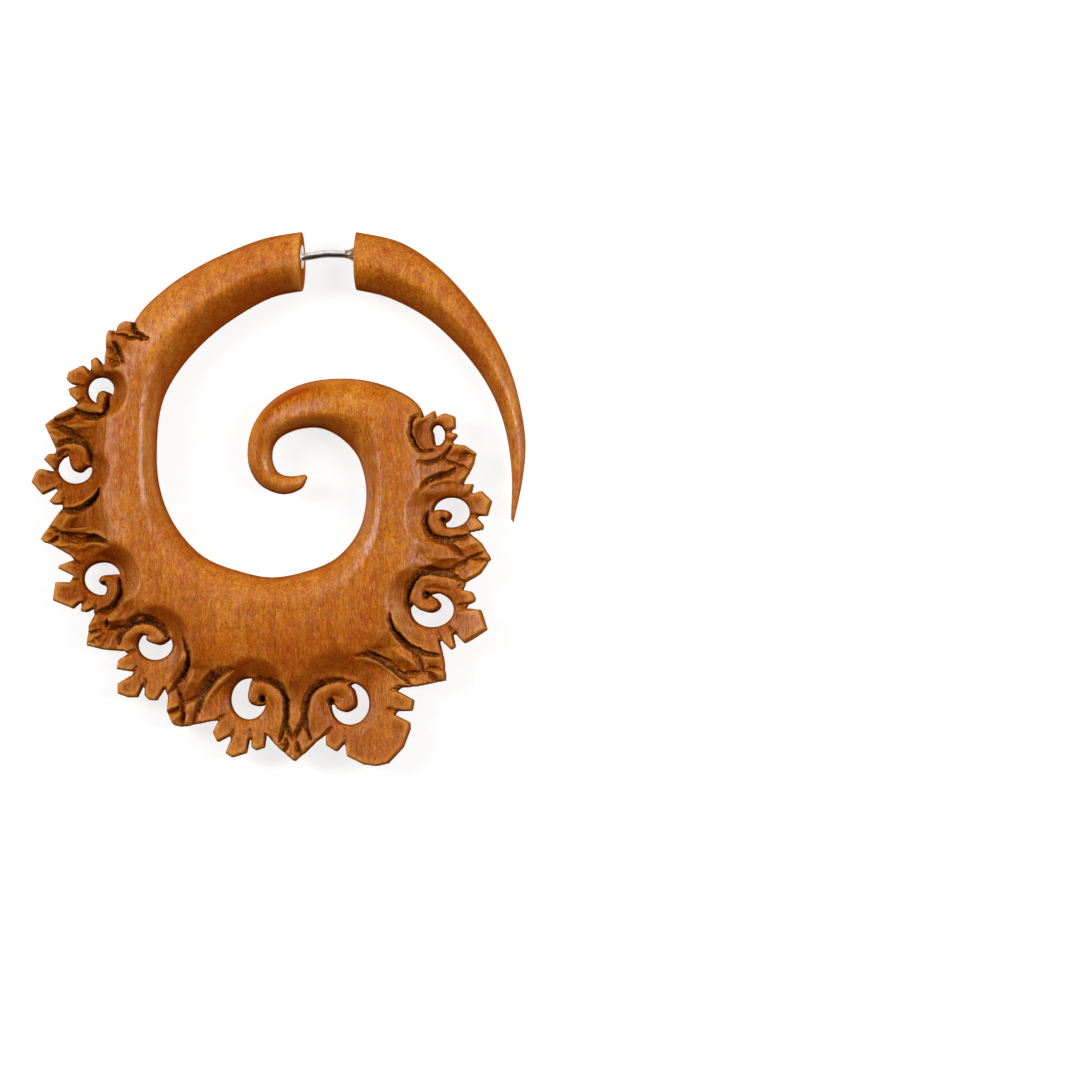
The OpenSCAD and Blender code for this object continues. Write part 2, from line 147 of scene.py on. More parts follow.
# The edge of the border, going round it against the clock. Each row holds the corners of one
# pointed fan or of one tooth of a scroll, and a new tooth starts at the foot of the last one.
BORDER_EDGE = [
    [[-15.8, 19.7], [-16.9, 19.8], [-17.5, 19.5], [-17.75, 19.1], [-17.8, 18.8], [-18.0, 18.7],
     [-18.3, 18.9],
     [-18.75, 18.75], [-18.95, 18.2], [-19.0, 16.6], [-19.1, 15.1]],
    [[-19.4, 15.1], [-20.1, 15.9], [-20.7, 15.5], [-20.6, 14.7]],
    [[-20.8, 14.4], [-21.6, 15.0], [-23.2, 14.2], [-23.4, 13.4], [-22.9, 12.9]],
    [[-22.3, 12.7], [-23.2, 12.4], [-23.0, 11.7], [-22.4, 11.1]],
    [[-22.2, 10.8], [-22.6, 10.4], [-24.5, 9.4], [-25.8, 8.4], [-24.5, 5.6]],
    [[-24.7, 5.3], [-25.4, 5.2], [-25.9, 4.6], [-25.0, 3.6]],
    [[-24.8, 3.3], [-26.3, 3.6], [-26.8, 3.2], [-27.3, 2.1], [-26.1, 0.7], [-24.6, 1.4]],
    [[-24.4, 1.1], [-25.3, 0.0], [-24.9, -0.4], [-23.9, -0.4]],
    [[-23.9, -0.8], [-26.3, -4.2], [-25.8, -4.6], [-25.1, -4.8], [-22.9, -6.1]],
    [[-22.6, -6.5], [-24.2, -7.1], [-24.3, -7.5], [-22.6, -8.3]],
    [[-23.0, -8.9], [-24.6, -8.9], [-24.9, -11.0], [-22.7, -11.9], [-21.9, -11.2]],
    [[-21.7, -11.5], [-21.8, -12.2], [-21.2, -12.3], [-20.4, -11.9]],
    [[-20.3, -12.6], [-20.9, -13.8], [-21.1, -16.0], [-19.4, -16.4], [-17.0, -16.6]],
    [[-16.6, -16.9], [-17.6, -17.6], [-17.8, -18.6], [-16.0, -18.9]],
    [[-16.1, -19.2], [-17.7, -20.2], [-17.7, -21.3], [-16.6, -21.7], [-15.5, -21.7],
     [-14.9, -20.4]],
    [[-14.7, -20.8], [-14.7, -21.5], [-14.2, -22.0], [-13.4, -22.1], [-12.5, -20.7]],
    [[-12.1, -21.7], [-12.2, -23.4], [-11.4, -24.8], [-10.6, -25.0], [-7.5, -24.4]],
    [[-6.5, -24.3], [-7.1, -25.6], [-6.6, -26.7], [-5.3, -26.0]],
    [[-5.1, -26.3], [-5.7, -27.9], [-5.0, -28.4], [-3.4, -27.9], [-3.1, -26.5]],
    [[-2.9, -26.4], [-2.8, -27.3], [-2.3, -27.6], [-1.4, -27.3], [-1.2, -25.8]],
    [[-0.3, -26.9], [1.9, -28.8], [3.0, -28.0], [4.4, -26.6]],
    [[5.4, -25.9], [5.5, -27.1], [6.6, -27.8], [7.4, -26.9]],
    [[7.6, -27.2], [7.8, -28.3], [9.6, -29.2], [11.0, -29.4], [12.3, -29.1], [14.0, -27.3],
     [14.8, -25.2], [14.7, -24.5], [13.1, -23.7]],
    [[13.4, -23.4], [15.0, -23.3], [15.2, -22.1], [13.4, -21.1]],
    [[13.8, -20.8], [15.6, -20.6], [18.7, -20.0], [18.5, -17.6], [18.0, -15.6]],
    [[18.3, -15.7], [19.3, -16.6], [19.8, -16.3], [19.5, -15.0]],
    [[19.8, -14.9], [20.8, -15.9], [23.3, -14.4], [22.6, -12.2], [21.0, -12.0]],
    [[21.2, -11.7], [21.9, -11.3], [22.0, -10.9], [21.6, -10.2], [20.6, -10.0]],
    [[21.0, -9.2], [22.5, -8.2], [23.7, -6.6], [23.3, -5.9], [22.5, -4.7], [21.9, -4.2]],
    [[21.4, -3.7], [22.8, -3.4], [22.9, -2.9], [22.2, -2.1]],
    [[22.4, -1.9], [23.3, -1.9], [23.8, -0.2], [22.7, 0.9], [21.8, 0.6]],
    [[21.6, 0.8], [21.8, 1.7], [20.7, 1.6]],
    [[20.8, 2.0], [21.4, 3.0], [22.1, 5.0], [20.8, 5.9], [19.6, 6.1]],
    [[19.5, 6.3], [20.0, 7.0], [19.9, 7.2], [19.3, 7.4]],
    [[19.4, 7.6], [19.8, 7.7], [19.7, 9.1], [18.6, 9.5], [17.7, 9.0]],
    [[17.5, 9.8], [16.2, 8.9]]]
FIRST_BORDER_ROW, LAST_BORDER_ROW = 5, 20   # rows of the spiral that the border stands on
BORDER_REACH = 0.3                          # how far in it reaches, as a share of the width

# The knife cuts: depth; width of the steep side, on the left of the way along the cut; width of the
# sloping side; points along the cut.
CUTS = [
    # under the shaft's end lobe
    [1.5, 0.25, 0.60, [[-15.9, 19.9], [-15.65, 19.1], [-15.2, 18.4], [-14.6, 18.05],
                       [-13.8, 17.8]]],
    [0.9, 0.15, 0.30, [[-17.9, 18.45], [-17.0, 18.2], [-16.2, 18.0], [-15.2, 17.85],
                       [-13.9, 17.65]]],
    [1.1, 0.40, 0.30, [[-18.2, 17.6], [-17.6, 16.8], [-17.25, 16.0], [-16.7, 14.9]]],
    [0.4, 0.15, 0.25, [[-19.0, 16.9], [-18.5, 16.7], [-18.0, 16.5]]],
    [0.5, 0.15, 0.50, [[-19.1, 15.75], [-18.3, 15.55], [-17.6, 15.25], [-16.9, 14.9]]],
    [0.5, 0.20, 0.20, [[-18.5, 18.9], [-18.2, 18.5], [-17.9, 18.3]]],
    # first scroll
    [1.2, 0.25, 0.50, [[-22.6, 10.5], [-21.8, 9.75], [-20.9, 9.45], [-20.0, 9.4], [-19.15, 9.6],
                       [-18.85, 10.4], [-18.75, 11.1], [-18.4, 12.0]]],
    [0.6, 0.30, 0.30, [[-24.9, 9.1], [-24.1, 8.8], [-23.3, 9.1], [-22.2, 9.5]]],
    [0.8, 0.40, 0.35, [[-25.2, 9.2], [-24.2, 8.35], [-23.3, 7.65], [-22.5, 7.15], [-21.4, 6.7]]],
    # second scroll
    [1.1, 0.25, 0.50, [[-20.35, 3.7], [-20.65, 4.6], [-20.75, 5.4], [-21.2, 6.1], [-22.2, 6.55],
                       [-23.3, 6.45], [-24.5, 5.9]]],
    [0.7, 0.30, 0.30, [[-24.4, 4.9], [-23.7, 5.35], [-22.8, 5.45]]],
    [1.3, 0.20, 0.60, [[-24.1, -0.9], [-22.7, -1.0], [-21.6, -0.65], [-20.6, 0.0], [-19.9, 0.65],
                       [-19.4, 1.4]]],
    [0.6, 0.35, 0.35, [[-25.5, -2.9], [-24.5, -3.3], [-23.9, -3.8]]],
    [0.8, 0.20, 0.60, [[-24.0, -3.7], [-22.8, -3.95], [-21.5, -4.4]]],
    [1.1, 0.20, 0.75, [[-21.5, -4.25], [-20.6, -3.95], [-19.9, -3.95], [-19.2, -4.3],
                       [-18.3, -4.95]]],
    [0.9, 0.25, 0.25, [[-25.3, -4.6], [-24.7, -4.3], [-24.1, -3.9]]],
    # third scroll
    [1.2, 0.25, 0.50, [[-20.5, -12.6], [-18.9, -12.0], [-17.9, -11.3], [-17.35, -10.4],
                       [-17.35, -9.5], [-17.5, -8.5]]],
    [0.7, 0.15, 0.20, [[-21.1, -14.6], [-20.2, -14.4], [-19.3, -14.25]]],
    [0.7, 0.15, 0.30, [[-18.7, -13.0], [-18.8, -13.5], [-18.85, -14.1]]],
    [0.9, 0.20, 0.35, [[-18.7, -14.15], [-17.6, -14.05], [-16.6, -14.2]]],
    [0.6, 0.20, 0.40, [[-21.1, -15.95], [-19.9, -15.35], [-18.9, -14.7]]],
    # fourth scroll
    [1.3, 0.25, 0.70, [[-12.15, -15.3], [-12.4, -14.6], [-13.0, -13.95], [-14.0, -13.45],
                       [-15.0, -13.45], [-16.0, -13.8], [-17.0, -14.7], [-17.5, -16.0]]],
    [1.1, 0.25, 0.45, [[-12.1, -21.5], [-11.05, -20.1], [-10.3, -19.2], [-9.85, -18.2],
                       [-9.7, -17.2], [-9.85, -16.3], [-10.3, -15.2]]],
    [0.8, 0.30, 0.30, [[-10.5, -25.1], [-10.3, -23.6], [-10.45, -22.2], [-10.7, -21.2],
                       [-11.2, -20.4]]],
    [0.7, 0.15, 0.40, [[-10.4, -22.35], [-9.3, -21.9], [-7.9, -21.25]]],
    [0.6, 0.20, 0.40, [[-12.3, -23.6], [-11.3, -23.0], [-10.5, -22.8]]],
    [0.5, 0.15, 0.50, [[-9.4, -25.0], [-9.0, -23.6], [-8.5, -22.0]]],
    # fifth scroll
    [1.0, 0.30, 0.90, [[-4.5, -18.8], [-5.8, -19.2], [-6.8, -19.95], [-7.7, -21.0], [-8.3, -22.2],
                       [-8.4, -23.6]]],
    [1.1, 0.25, 0.55, [[0.2, -26.9], [0.8, -25.2], [1.0, -23.8], [1.05, -22.4], [0.8, -21.3],
                       [0.2, -20.5], [-0.7, -20.05], [-1.8, -19.85], [-2.8, -19.9]]],
    [0.9, 0.40, 0.40, [[0.9, -24.2], [1.3, -25.5], [1.95, -26.6]]],
    [0.9, 0.40, 0.40, [[3.3, -23.6], [2.8, -24.9], [1.95, -26.6]]],
    [0.6, 0.30, 0.35, [[1.2, -26.2], [1.1, -27.2], [0.8, -28.3]]],
    [0.7, 0.30, 0.35, [[2.2, -26.6], [2.5, -27.5], [2.9, -28.5]]],
    # sixth scroll
    [1.1, 0.25, 0.55, [[8.3, -20.2], [7.4, -20.0], [6.4, -20.05], [5.3, -20.4], [4.3, -21.0],
                       [3.6, -21.9], [3.3, -23.2], [3.35, -24.6], [4.0, -26.6]]],
    [1.0, 0.20, 0.60, [[15.1, -20.8], [13.8, -19.55], [12.7, -18.65], [11.4, -17.8], [10.2, -17.35],
                       [8.8, -17.4]]],
    [0.7, 0.20, 0.45, [[13.3, -18.9], [14.4, -19.2], [15.4, -19.15], [16.4, -18.8]]],
    [0.7, 0.30, 0.50, [[15.1, -16.4], [15.9, -17.7], [16.5, -19.0]]],
    [0.5, 0.20, 0.20, [[16.5, -18.75], [17.4, -18.6], [18.7, -18.95]]],
    [0.6, 0.40, 0.30, [[16.4, -18.9], [17.2, -19.6], [18.0, -20.4]]],
    # seventh scroll
    [1.2, 0.25, 0.55, [[12.7, -12.6], [13.15, -14.1], [13.9, -15.3], [14.9, -16.15], [16.4, -16.85],
                       [18.4, -17.3]]],
    [1.1, 0.25, 0.60, [[20.9, -9.3], [19.3, -8.55], [18.0, -8.25], [16.8, -8.15], [15.8, -8.65],
                       [15.1, -9.6], [14.75, -10.8], [14.75, -11.8], [14.9, -12.8]]],
    [0.8, 0.20, 0.60, [[16.9, -8.0], [18.2, -8.0], [19.4, -7.8], [20.5, -7.1], [21.3, -6.55],
                       [22.4, -6.1], [23.4, -5.8]]],
    [0.7, 0.35, 0.35, [[18.8, -4.6], [19.8, -5.5], [20.9, -6.5]]],
    [0.6, 0.20, 0.30, [[21.5, -6.5], [22.5, -6.7], [23.7, -6.95]]],
    # eighth scroll
    [1.2, 0.25, 0.50, [[16.85, -1.3], [16.7, -2.8], [17.1, -3.8], [18.0, -4.35], [19.2, -4.45],
                       [20.5, -4.2], [21.7, -3.9]]],
    [1.0, 0.20, 0.60, [[16.0, 0.7], [16.5, 1.6], [17.3, 2.3], [18.4, 2.75], [19.2, 3.0],
                       [19.9, 3.6]]],
    [0.8, 0.20, 0.40, [[15.7, 4.05], [17.0, 4.05], [18.0, 4.3], [18.7, 4.8], [19.5, 6.1]]],
    [0.6, 0.20, 0.30, [[18.4, 4.4], [19.6, 3.95], [20.5, 3.6], [21.7, 3.0]]],
    [0.6, 0.20, 0.35, [[20.0, 4.1], [20.7, 4.7], [21.3, 4.9], [22.2, 4.75]]],
    # ninth scroll
    [1.2, 0.22, 0.35, [[16.1, 9.5], [15.35, 8.7], [15.1, 7.6], [15.3, 6.5], [15.8, 5.65],
                       [16.6, 5.2], [17.6, 5.4]]]]

# The ridges that the cuts leave standing: height; width of each side; points along the ridge.
RIDGES = [
    [0.25, 0.8, [[-22.5, -1.2], [-23.2, -2.2], [-24.0, -3.7]]],
    [0.20, 0.5, [[-24.4, 7.9], [-24.9, 7.6], [-25.3, 7.3]]],
    [0.20, 0.4, [[-16.4, -10.0], [-16.9, -11.9], [-18.4, -13.3]]],
    [0.20, 0.3, [[-18.9, -14.3], [-20.9, -15.2]]],
    [0.20, 0.3, [[-18.7, -14.6], [-19.6, -16.4]]],
    [0.20, 0.3, [[-18.0, -14.7], [-18.5, -16.6]]],
    [0.20, 0.3, [[-17.7, -14.8], [-17.6, -16.6]]],
    [0.25, 0.4, [[-9.9, -22.5], [-10.0, -25.0]]],
    [0.20, 0.4, [[-11.0, -23.4], [-11.5, -24.8]]],
    [0.30, 0.7, [[0.6, -19.2], [1.5, -21.4], [1.75, -24.0], [1.95, -26.2]]],
    [0.22, 0.5, [[3.0, -19.8], [2.8, -21.8], [2.45, -24.0], [2.05, -26.0]]],
    [0.25, 0.4, [[1.95, -26.8], [1.9, -29.0]]],
    [0.15, 0.4, [[5.3, -23.6], [5.45, -25.6]]],
    [0.20, 0.5, [[17.0, -17.0], [17.2, -18.4]]],
    [0.20, 0.5, [[19.2, 4.6], [19.8, 6.0]]],
    [0.15, 0.4, [[20.3, 5.0], [20.5, 6.0]]],
    [0.30, 0.4, [[-22.9, -6.0], [-21.1, -5.05], [-20.0, -4.75], [-19.0, -4.85], [-18.0, -5.1]]],
    [0.30, 0.4, [[-24.0, -0.65], [-22.6, -0.6], [-21.4, -0.2], [-20.3, 0.5], [-19.6, 1.3]]],
    [0.30, 0.4, [[-4.6, -19.1], [-6.4, -20.5], [-7.7, -22.1], [-8.1, -23.8]]],
    [0.30, 0.4, [[9.4, -17.6], [11.8, -18.2], [13.4, -19.5], [14.7, -20.8]]],
    [0.30, 0.4, [[13.15, -12.9], [14.3, -15.1], [15.6, -16.2], [17.0, -16.8], [18.1, -17.0]]],
    [0.25, 0.4, [[16.3, 0.9], [17.3, 1.65], [18.6, 2.0], [19.8, 2.0], [20.8, 1.7]]],
    [0.25, 0.4, [[-12.3, -20.4], [-11.0, -18.6], [-10.4, -17.5], [-10.3, -16.0]]]]

# The chip-carved facets of the fans between the scrolls. Each row is one facet: corners as x, y,
# half thickness. A corner without a half thickness lies on the wood as it was before.
FACETS = [
    # above the first scroll
    [[-17.9, 18.7, 1.2], [-17.8, 19.3, 1.2], [-16.9, 19.9, 1.5], [-15.9, 19.8, 1.0],
     [-15.3, 18.4, 0.9],
     [-16.3, 18.35, 1.9], [-17.2, 18.5, 1.8]],
    [[-19.0, 17.6, 1.5], [-18.7, 18.8, 1.5], [-18.2, 18.8, 1.3], [-17.9, 18.3, 1.0],
     [-18.1, 17.5, 1.7]],
    [[-19.05, 16.5, 1.1], [-19.0, 17.6, 1.6], [-18.1, 17.4, 1.8], [-17.7, 16.6, 1.2],
     [-18.1, 16.35, 1.1]],
    [[-19.1, 15.8, 1.9], [-19.05, 16.5, 1.2], [-18.1, 16.35, 1.2], [-17.6, 16.2, 1.0],
     [-17.2, 15.35, 1.3]],
    [[-19.1, 15.1, 1.4], [-19.1, 15.8, 1.9], [-17.2, 15.35, 1.5], [-16.9, 14.8, 1.8],
     [-18.0, 14.5, 1.7]],
    # between the first and the second scroll
    [[-22.6, 10.5, 1.7], [-24.8, 9.35, 1.8], [-24.2, 8.7, 1.1], [-22.9, 9.0, 0.9],
     [-21.9, 9.7, 0.9]],
    [[-24.8, 9.35, 1.6], [-25.8, 8.45, 1.3], [-25.2, 8.2, 0.9], [-24.2, 8.45, 1.2],
     [-24.2, 8.7, 1.1]],
    [[-24.1, 8.45, 1.2], [-22.9, 9.0, 1.0], [-20.9, 9.15], [-19.8, 8.9], [-19.8, 8.15],
     [-23.2, 8.2, 1.9]],
    [[-24.1, 8.45, 1.2], [-23.2, 8.2, 1.9], [-19.8, 8.15], [-20.2, 6.9], [-21.2, 6.5, 1.1],
     [-22.6, 7.1, 0.9]],
    [[-25.8, 8.4, 1.2], [-24.2, 8.2, 1.0], [-24.2, 7.85, 1.8], [-25.35, 7.5, 1.5]],
    [[-25.35, 7.5, 1.3], [-24.2, 7.85, 1.8], [-22.7, 6.95, 1.1], [-24.9, 6.9, 1.8]],
    [[-24.9, 6.9, 1.8], [-22.7, 6.95, 1.1], [-21.6, 6.35, 1.0], [-23.2, 6.4, 1.1],
     [-24.6, 6.0, 1.3]],
    # between the second and the third
    [[-23.9, -0.9, 1.1], [-25.3, -2.9, 1.2], [-24.1, -3.45, 1.7], [-22.6, -1.3, 2.0]],
    [[-22.6, -1.3, 2.0], [-24.1, -3.45, 1.7], [-22.9, -3.0, 1.5], [-21.6, -1.6]],
    [[-24.1, -3.4, 1.6], [-22.0, -2.85, 1.9], [-20.2, -2.75], [-19.2, -3.3], [-18.5, -4.55],
     [-19.6, -3.95, 1.0], [-20.8, -3.8, 0.9], [-22.0, -4.0, 0.8], [-23.8, -3.6, 0.9]],
    [[-19.6, -3.95, 1.0], [-18.4, -4.7, 1.9], [-19.2, -4.75, 1.8], [-20.0, -4.7, 1.8],
     [-21.0, -4.95, 1.7],
     [-21.6, -4.4, 0.9], [-20.8, -3.8, 0.9]],
    [[-24.1, -4.05, 1.2], [-25.1, -4.9, 1.4], [-23.9, -5.1, 1.8], [-22.4, -4.7, 1.4],
     [-22.0, -4.45, 0.9]],
    [[-25.1, -4.9, 1.4], [-22.9, -6.05, 1.1], [-21.1, -4.95, 1.4], [-22.4, -4.7, 1.4],
     [-23.9, -5.1, 1.8]],
    [[-25.4, -3.0, 1.2], [-24.1, -3.45, 1.4], [-24.9, -3.85, 0.9], [-25.9, -3.8, 0.9]],
    [[-25.9, -3.8, 0.9], [-24.9, -3.85, 0.9], [-24.1, -3.9, 1.4], [-25.2, -4.5, 1.6],
     [-25.8, -4.6, 1.5], [-26.3, -4.2, 1.2]],
    # between the third and the fourth
    [[-18.5, -13.35, 1.9], [-17.0, -11.9], [-16.4, -10.6], [-17.2, -10.9, 1.6], [-17.8, -11.9, 1.2],
     [-18.9, -12.5, 1.1], [-19.4, -13.2, 1.3]],
    [[-18.5, -13.35, 1.9], [-17.0, -11.9], [-15.0, -11.9], [-14.5, -12.9, 1.8], [-15.8, -13.4, 1.4],
     [-16.7, -14.0, 1.0], [-18.5, -14.0, 1.0]],
    [[-20.3, -12.6, 1.2], [-20.9, -13.8, 1.3], [-20.9, -14.3, 0.9], [-19.2, -14.2, 1.0],
     [-18.8, -13.3, 1.5],
     [-19.4, -13.0, 1.4], [-19.0, -12.4, 1.0]],
    [[-18.9, -14.4, 1.1], [-20.9, -14.6, 1.1], [-21.1, -15.9, 1.8], [-19.0, -14.8, 1.5]],
    [[-19.0, -14.8, 1.5], [-21.1, -15.9, 1.8], [-19.6, -16.4, 1.0], [-18.6, -15.0, 1.2]],
    [[-18.6, -15.0, 1.2], [-19.6, -16.4, 1.0], [-18.7, -16.6, 1.6], [-18.1, -14.8, 1.4]],
    [[-18.1, -14.8, 1.4], [-18.7, -16.6, 1.6], [-17.9, -16.6, 1.1], [-17.5, -14.6, 1.0]],
    [[-17.5, -14.6, 1.0], [-17.9, -16.6, 1.1], [-17.2, -16.6, 1.5], [-16.9, -15.0, 1.1],
     [-16.9, -14.3, 1.0]],
    # between the fourth and the fifth
    [[-12.0, -21.7, 1.3], [-11.3, -20.8, 1.1], [-10.6, -21.4, 0.9], [-10.25, -22.6, 0.9],
     [-10.9, -22.75, 1.6],
     [-12.1, -23.3, 1.7]],
    [[-12.1, -23.4, 1.0], [-10.9, -22.85, 0.9], [-10.3, -23.1, 0.9], [-10.5, -23.4, 1.5],
     [-11.6, -24.6, 1.8]],
    [[-11.6, -24.6, 1.8], [-10.5, -23.4, 1.5], [-10.25, -23.9, 0.8], [-10.7, -25.0, 1.0]],
    [[-9.95, -22.4, 1.6], [-8.6, -22.1, 1.3], [-9.4, -24.8, 1.0], [-10.0, -24.95, 1.7],
     [-10.25, -23.7, 0.9]],
    [[-8.6, -22.1, 1.3], [-9.4, -24.8, 1.0], [-8.1, -24.5, 1.7], [-8.2, -22.6, 1.6]],
    [[-10.3, -22.1, 1.0], [-10.35, -21.2, 1.5], [-9.5, -19.9, 2.0], [-8.9, -18.7],
     [-9.6, -18.2, 1.7],
     [-10.1, -19.3, 1.1], [-10.8, -20.6, 0.9]],
    [[-10.3, -22.1, 1.0], [-10.35, -21.2, 1.5], [-9.5, -19.9, 2.0], [-8.9, -18.7], [-7.0, -18.5],
     [-6.6, -19.4, 1.3], [-7.9, -21.25, 0.9], [-8.9, -21.8, 0.9]],
    # between the fifth and the sixth
    [[0.6, -25.2, 0.9], [1.0, -25.6, 1.1], [0.9, -26.9, 1.7], [-0.1, -27.0, 1.2],
     [0.15, -26.2, 0.8]],
    [[1.0, -25.6, 1.1], [1.8, -26.6, 0.9], [0.8, -28.1, 1.2], [-0.1, -27.1, 1.2],
     [0.9, -26.9, 1.7]],
    [[3.2, -24.9, 0.9], [2.3, -26.4, 0.9], [2.8, -27.6, 1.2], [3.4, -27.4, 1.5], [3.5, -26.2, 1.8]],
    [[3.2, -24.9, 0.9], [3.5, -26.2, 1.8], [3.4, -27.4, 1.5], [4.4, -26.6, 1.2], [3.7, -25.5, 0.8]],
    [[0.8, -28.1, 1.2], [1.9, -26.8, 1.1], [1.9, -28.8, 1.8], [1.4, -28.5, 1.0]],
    [[2.9, -28.1, 1.2], [2.4, -28.5, 1.0], [1.9, -28.8, 1.8], [1.9, -26.8, 1.1]],
    # between the sixth and the seventh
    [[9.5, -16.2], [12.6, -16.3], [14.2, -17.4, 1.9], [16.2, -18.8, 1.2], [15.0, -19.15, 0.9],
     [13.8, -18.9, 0.9], [12.0, -17.8, 0.9], [10.5, -17.2, 1.2]],
    [[12.6, -16.3], [14.2, -17.4, 1.9], [16.2, -18.8, 1.2], [15.4, -17.0, 1.2], [14.5, -16.1, 1.1],
     [13.3, -14.9, 1.3], [12.5, -14.2]],
    [[15.6, -16.8, 1.1], [16.9, -18.6, 1.1], [18.5, -18.6, 1.2], [18.3, -17.4, 1.7],
     [17.0, -17.1, 1.5]],
    [[14.3, -19.3, 0.9], [16.4, -18.9, 1.3], [17.0, -20.3, 1.2], [15.0, -20.6, 1.7],
     [14.4, -20.1, 1.4]],
    [[16.5, -18.9, 1.4], [17.1, -19.0, 1.0], [18.0, -20.1, 0.8], [17.0, -20.3, 1.5]],
    [[17.1, -19.0, 1.0], [18.6, -19.2, 1.7], [18.7, -20.0, 1.4], [18.0, -20.1, 0.8]],
    # the broad tooth of the seventh
    [[20.0, -12.3, 1.15], [22.0, -12.3, 1.95], [21.6, -15.5, 2.0], [20.8, -15.9, 1.6],
     [19.7, -14.9, 1.05]],
    [[22.0, -12.3, 1.9], [22.5, -12.2, 1.7], [23.3, -14.4, 1.2], [21.6, -15.5, 2.0]],
    # between the seventh and the eighth
    [[19.2, -4.65, 1.0], [21.6, -4.1, 1.1], [22.5, -4.8, 1.7], [23.2, -5.6, 1.3],
     [21.3, -6.3, 1.0], [20.3, -5.5, 1.5]],
    [[21.4, -6.45, 1.1], [22.4, -6.15, 1.2], [23.4, -6.0, 1.6], [23.6, -6.6, 1.5],
     [22.3, -6.7, 1.2]],
    [[20.0, -7.7, 0.9], [21.3, -6.6, 1.2], [23.4, -7.1, 1.2], [22.4, -8.3, 1.8],
     [21.0, -9.2, 1.4], [20.8, -8.9, 1.0]],
    [[15.2, -4.6], [17.0, -4.6], [18.9, -5.1, 1.5], [20.7, -6.5, 1.1], [18.5, -6.6, 1.9],
     [16.4, -6.4]],
    [[16.4, -6.4], [18.5, -6.6, 1.9], [20.7, -6.5, 1.1], [19.6, -7.7, 0.9], [18.2, -7.95, 0.9],
     [16.8, -8.0, 1.0], [15.4, -7.6], [15.2, -6.6]],
    # between the eighth and the ninth
    [[19.55, 6.0, 1.3], [19.0, 4.8, 1.0], [20.0, 4.25, 0.9], [20.9, 4.85, 1.1], [22.1, 5.05, 1.2],
     [21.6, 5.6, 1.8],
     [20.8, 5.9, 1.6]],
    [[20.1, 4.05, 1.0], [21.0, 4.65, 1.0], [22.0, 4.8, 1.1], [21.9, 3.8, 1.8], [21.4, 3.1, 1.3]],
    [[19.9, 3.6, 1.1], [21.4, 3.0, 1.0], [20.7, 2.0, 1.5], [19.6, 2.2, 1.2], [19.2, 2.9, 0.9]]]

# The rounded fingers of the scrolls: rise; half width; points along the middle.
FINGERS = [
    [0.45, 0.65, [[-22.0, 10.9], [-21.0, 10.25], [-20.0, 10.25], [-19.4, 10.9], [-19.3, 11.6]]],
    [0.45, 0.85, [[-24.3, 5.75], [-22.8, 6.0], [-21.9, 5.7], [-21.7, 4.9], [-22.1, 4.0]]],
    [0.40, 0.75, [[-20.3, -11.7], [-19.0, -11.1], [-18.25, -10.2], [-18.3, -9.2], [-19.3, -8.8]]],
    [0.40, 0.70, [[-16.9, -15.8], [-16.0, -14.6], [-14.9, -14.15], [-13.8, -14.5], [-13.2, -15.2],
                  [-14.1, -15.6]]],
    [0.40, 0.75, [[0.1, -26.2], [0.3, -23.5], [0.1, -22.0], [-0.8, -21.0], [-2.0, -20.85],
                  [-2.6, -21.8]]],
    [0.40, 0.85, [[4.6, -26.0], [4.4, -23.6], [4.8, -22.0], [6.0, -20.9], [7.4, -21.0],
                  [8.0, -22.1], [7.4, -22.9]]],
    [0.40, 0.75, [[20.5, -9.6], [18.5, -9.2], [16.8, -9.05], [15.8, -9.8], [15.6, -11.0],
                  [16.4, -11.8], [17.5, -11.8]]],
    [0.35, 0.65, [[20.8, -3.8], [19.0, -3.75], [17.8, -3.2], [17.5, -2.3], [18.2, -1.75],
                  [18.9, -1.7]]],
    [0.15, 0.90, [[16.4, 8.6], [15.9, 7.5], [16.2, 6.6], [16.9, 5.9]]]]

# A dark red vein in the wood along the outer edge of the curl: half width; points along it.
VEIN = [0.85, [[-1.9, 9.1], [-1.0, 10.05], [0.9, 11.4], [3.2, 12.4], [5.4, 13.0]]]
# The wood beside it, made duller and darkened with painted shade.
DULL_SHADED_STRIPE = [2.6, [[-3.2, 5.6], [-2.5, 8.6], [-1.0, 10.4], [1.1, 11.7], [3.2, 12.6], [8.0, 13.2],
                    [13.0, 12.0]]]

# The round pits at the heart of the curled fingers: middle x, y; radius; depth.
EYES = [
    [-1.55, -22.0, 0.45, 1.5],
    [6.1, -22.3, 0.45, 1.5],
    [16.7, -10.6, 0.45, 1.5],
    [18.5, -2.35, 0.30, 1.0],
    [-19.1, -9.2, 0.30, 0.8]]

PITCH = 0.10                # spacing of the points that the spiral is carved at
MARGIN = 0.8                # room round the wood
EDGE_NEAR = 1.6             # how far from the edges the distance to them is known
BAND_NEAR = 9.0             # and how far from the spiral's own outline
RING_H = 1.5                # half thickness of the scrolls
FAN_H = 1.3                 # half thickness at the tips of the fans
FAN_SLOPE = 0.42            # fall of the fans away from the spiral
FAN_ROOT = 3.0              # length over which the thickness at their roots is evened out
FAN_JOIN, BAND_JOIN = 0.8, 0.4  # how soft the bends are in a fan, and between it and the spiral
COVE_TOP = FULL + 0.3       # half thickness of a cove where it runs out
COVE_NEAR, COVE_JOIN = 1.5, 0.25    # how far past there it is followed, and how soft its rim is
THINNEST = 0.45             # half thickness left under the deepest cut
EDGE_R = 0.09               # rounding of every edge
STEEPEST = 6.0              # slope above which the carving counts as a wall
CUT_POINT = 0.35            # how far a cut's ends are drawn out to a point
CUT_WIDER = 1.15            # width of the cuts, as a multiple of the table's
CUT_UNEVEN = 2.0            # how much a cut's depth varies where it strays from its line
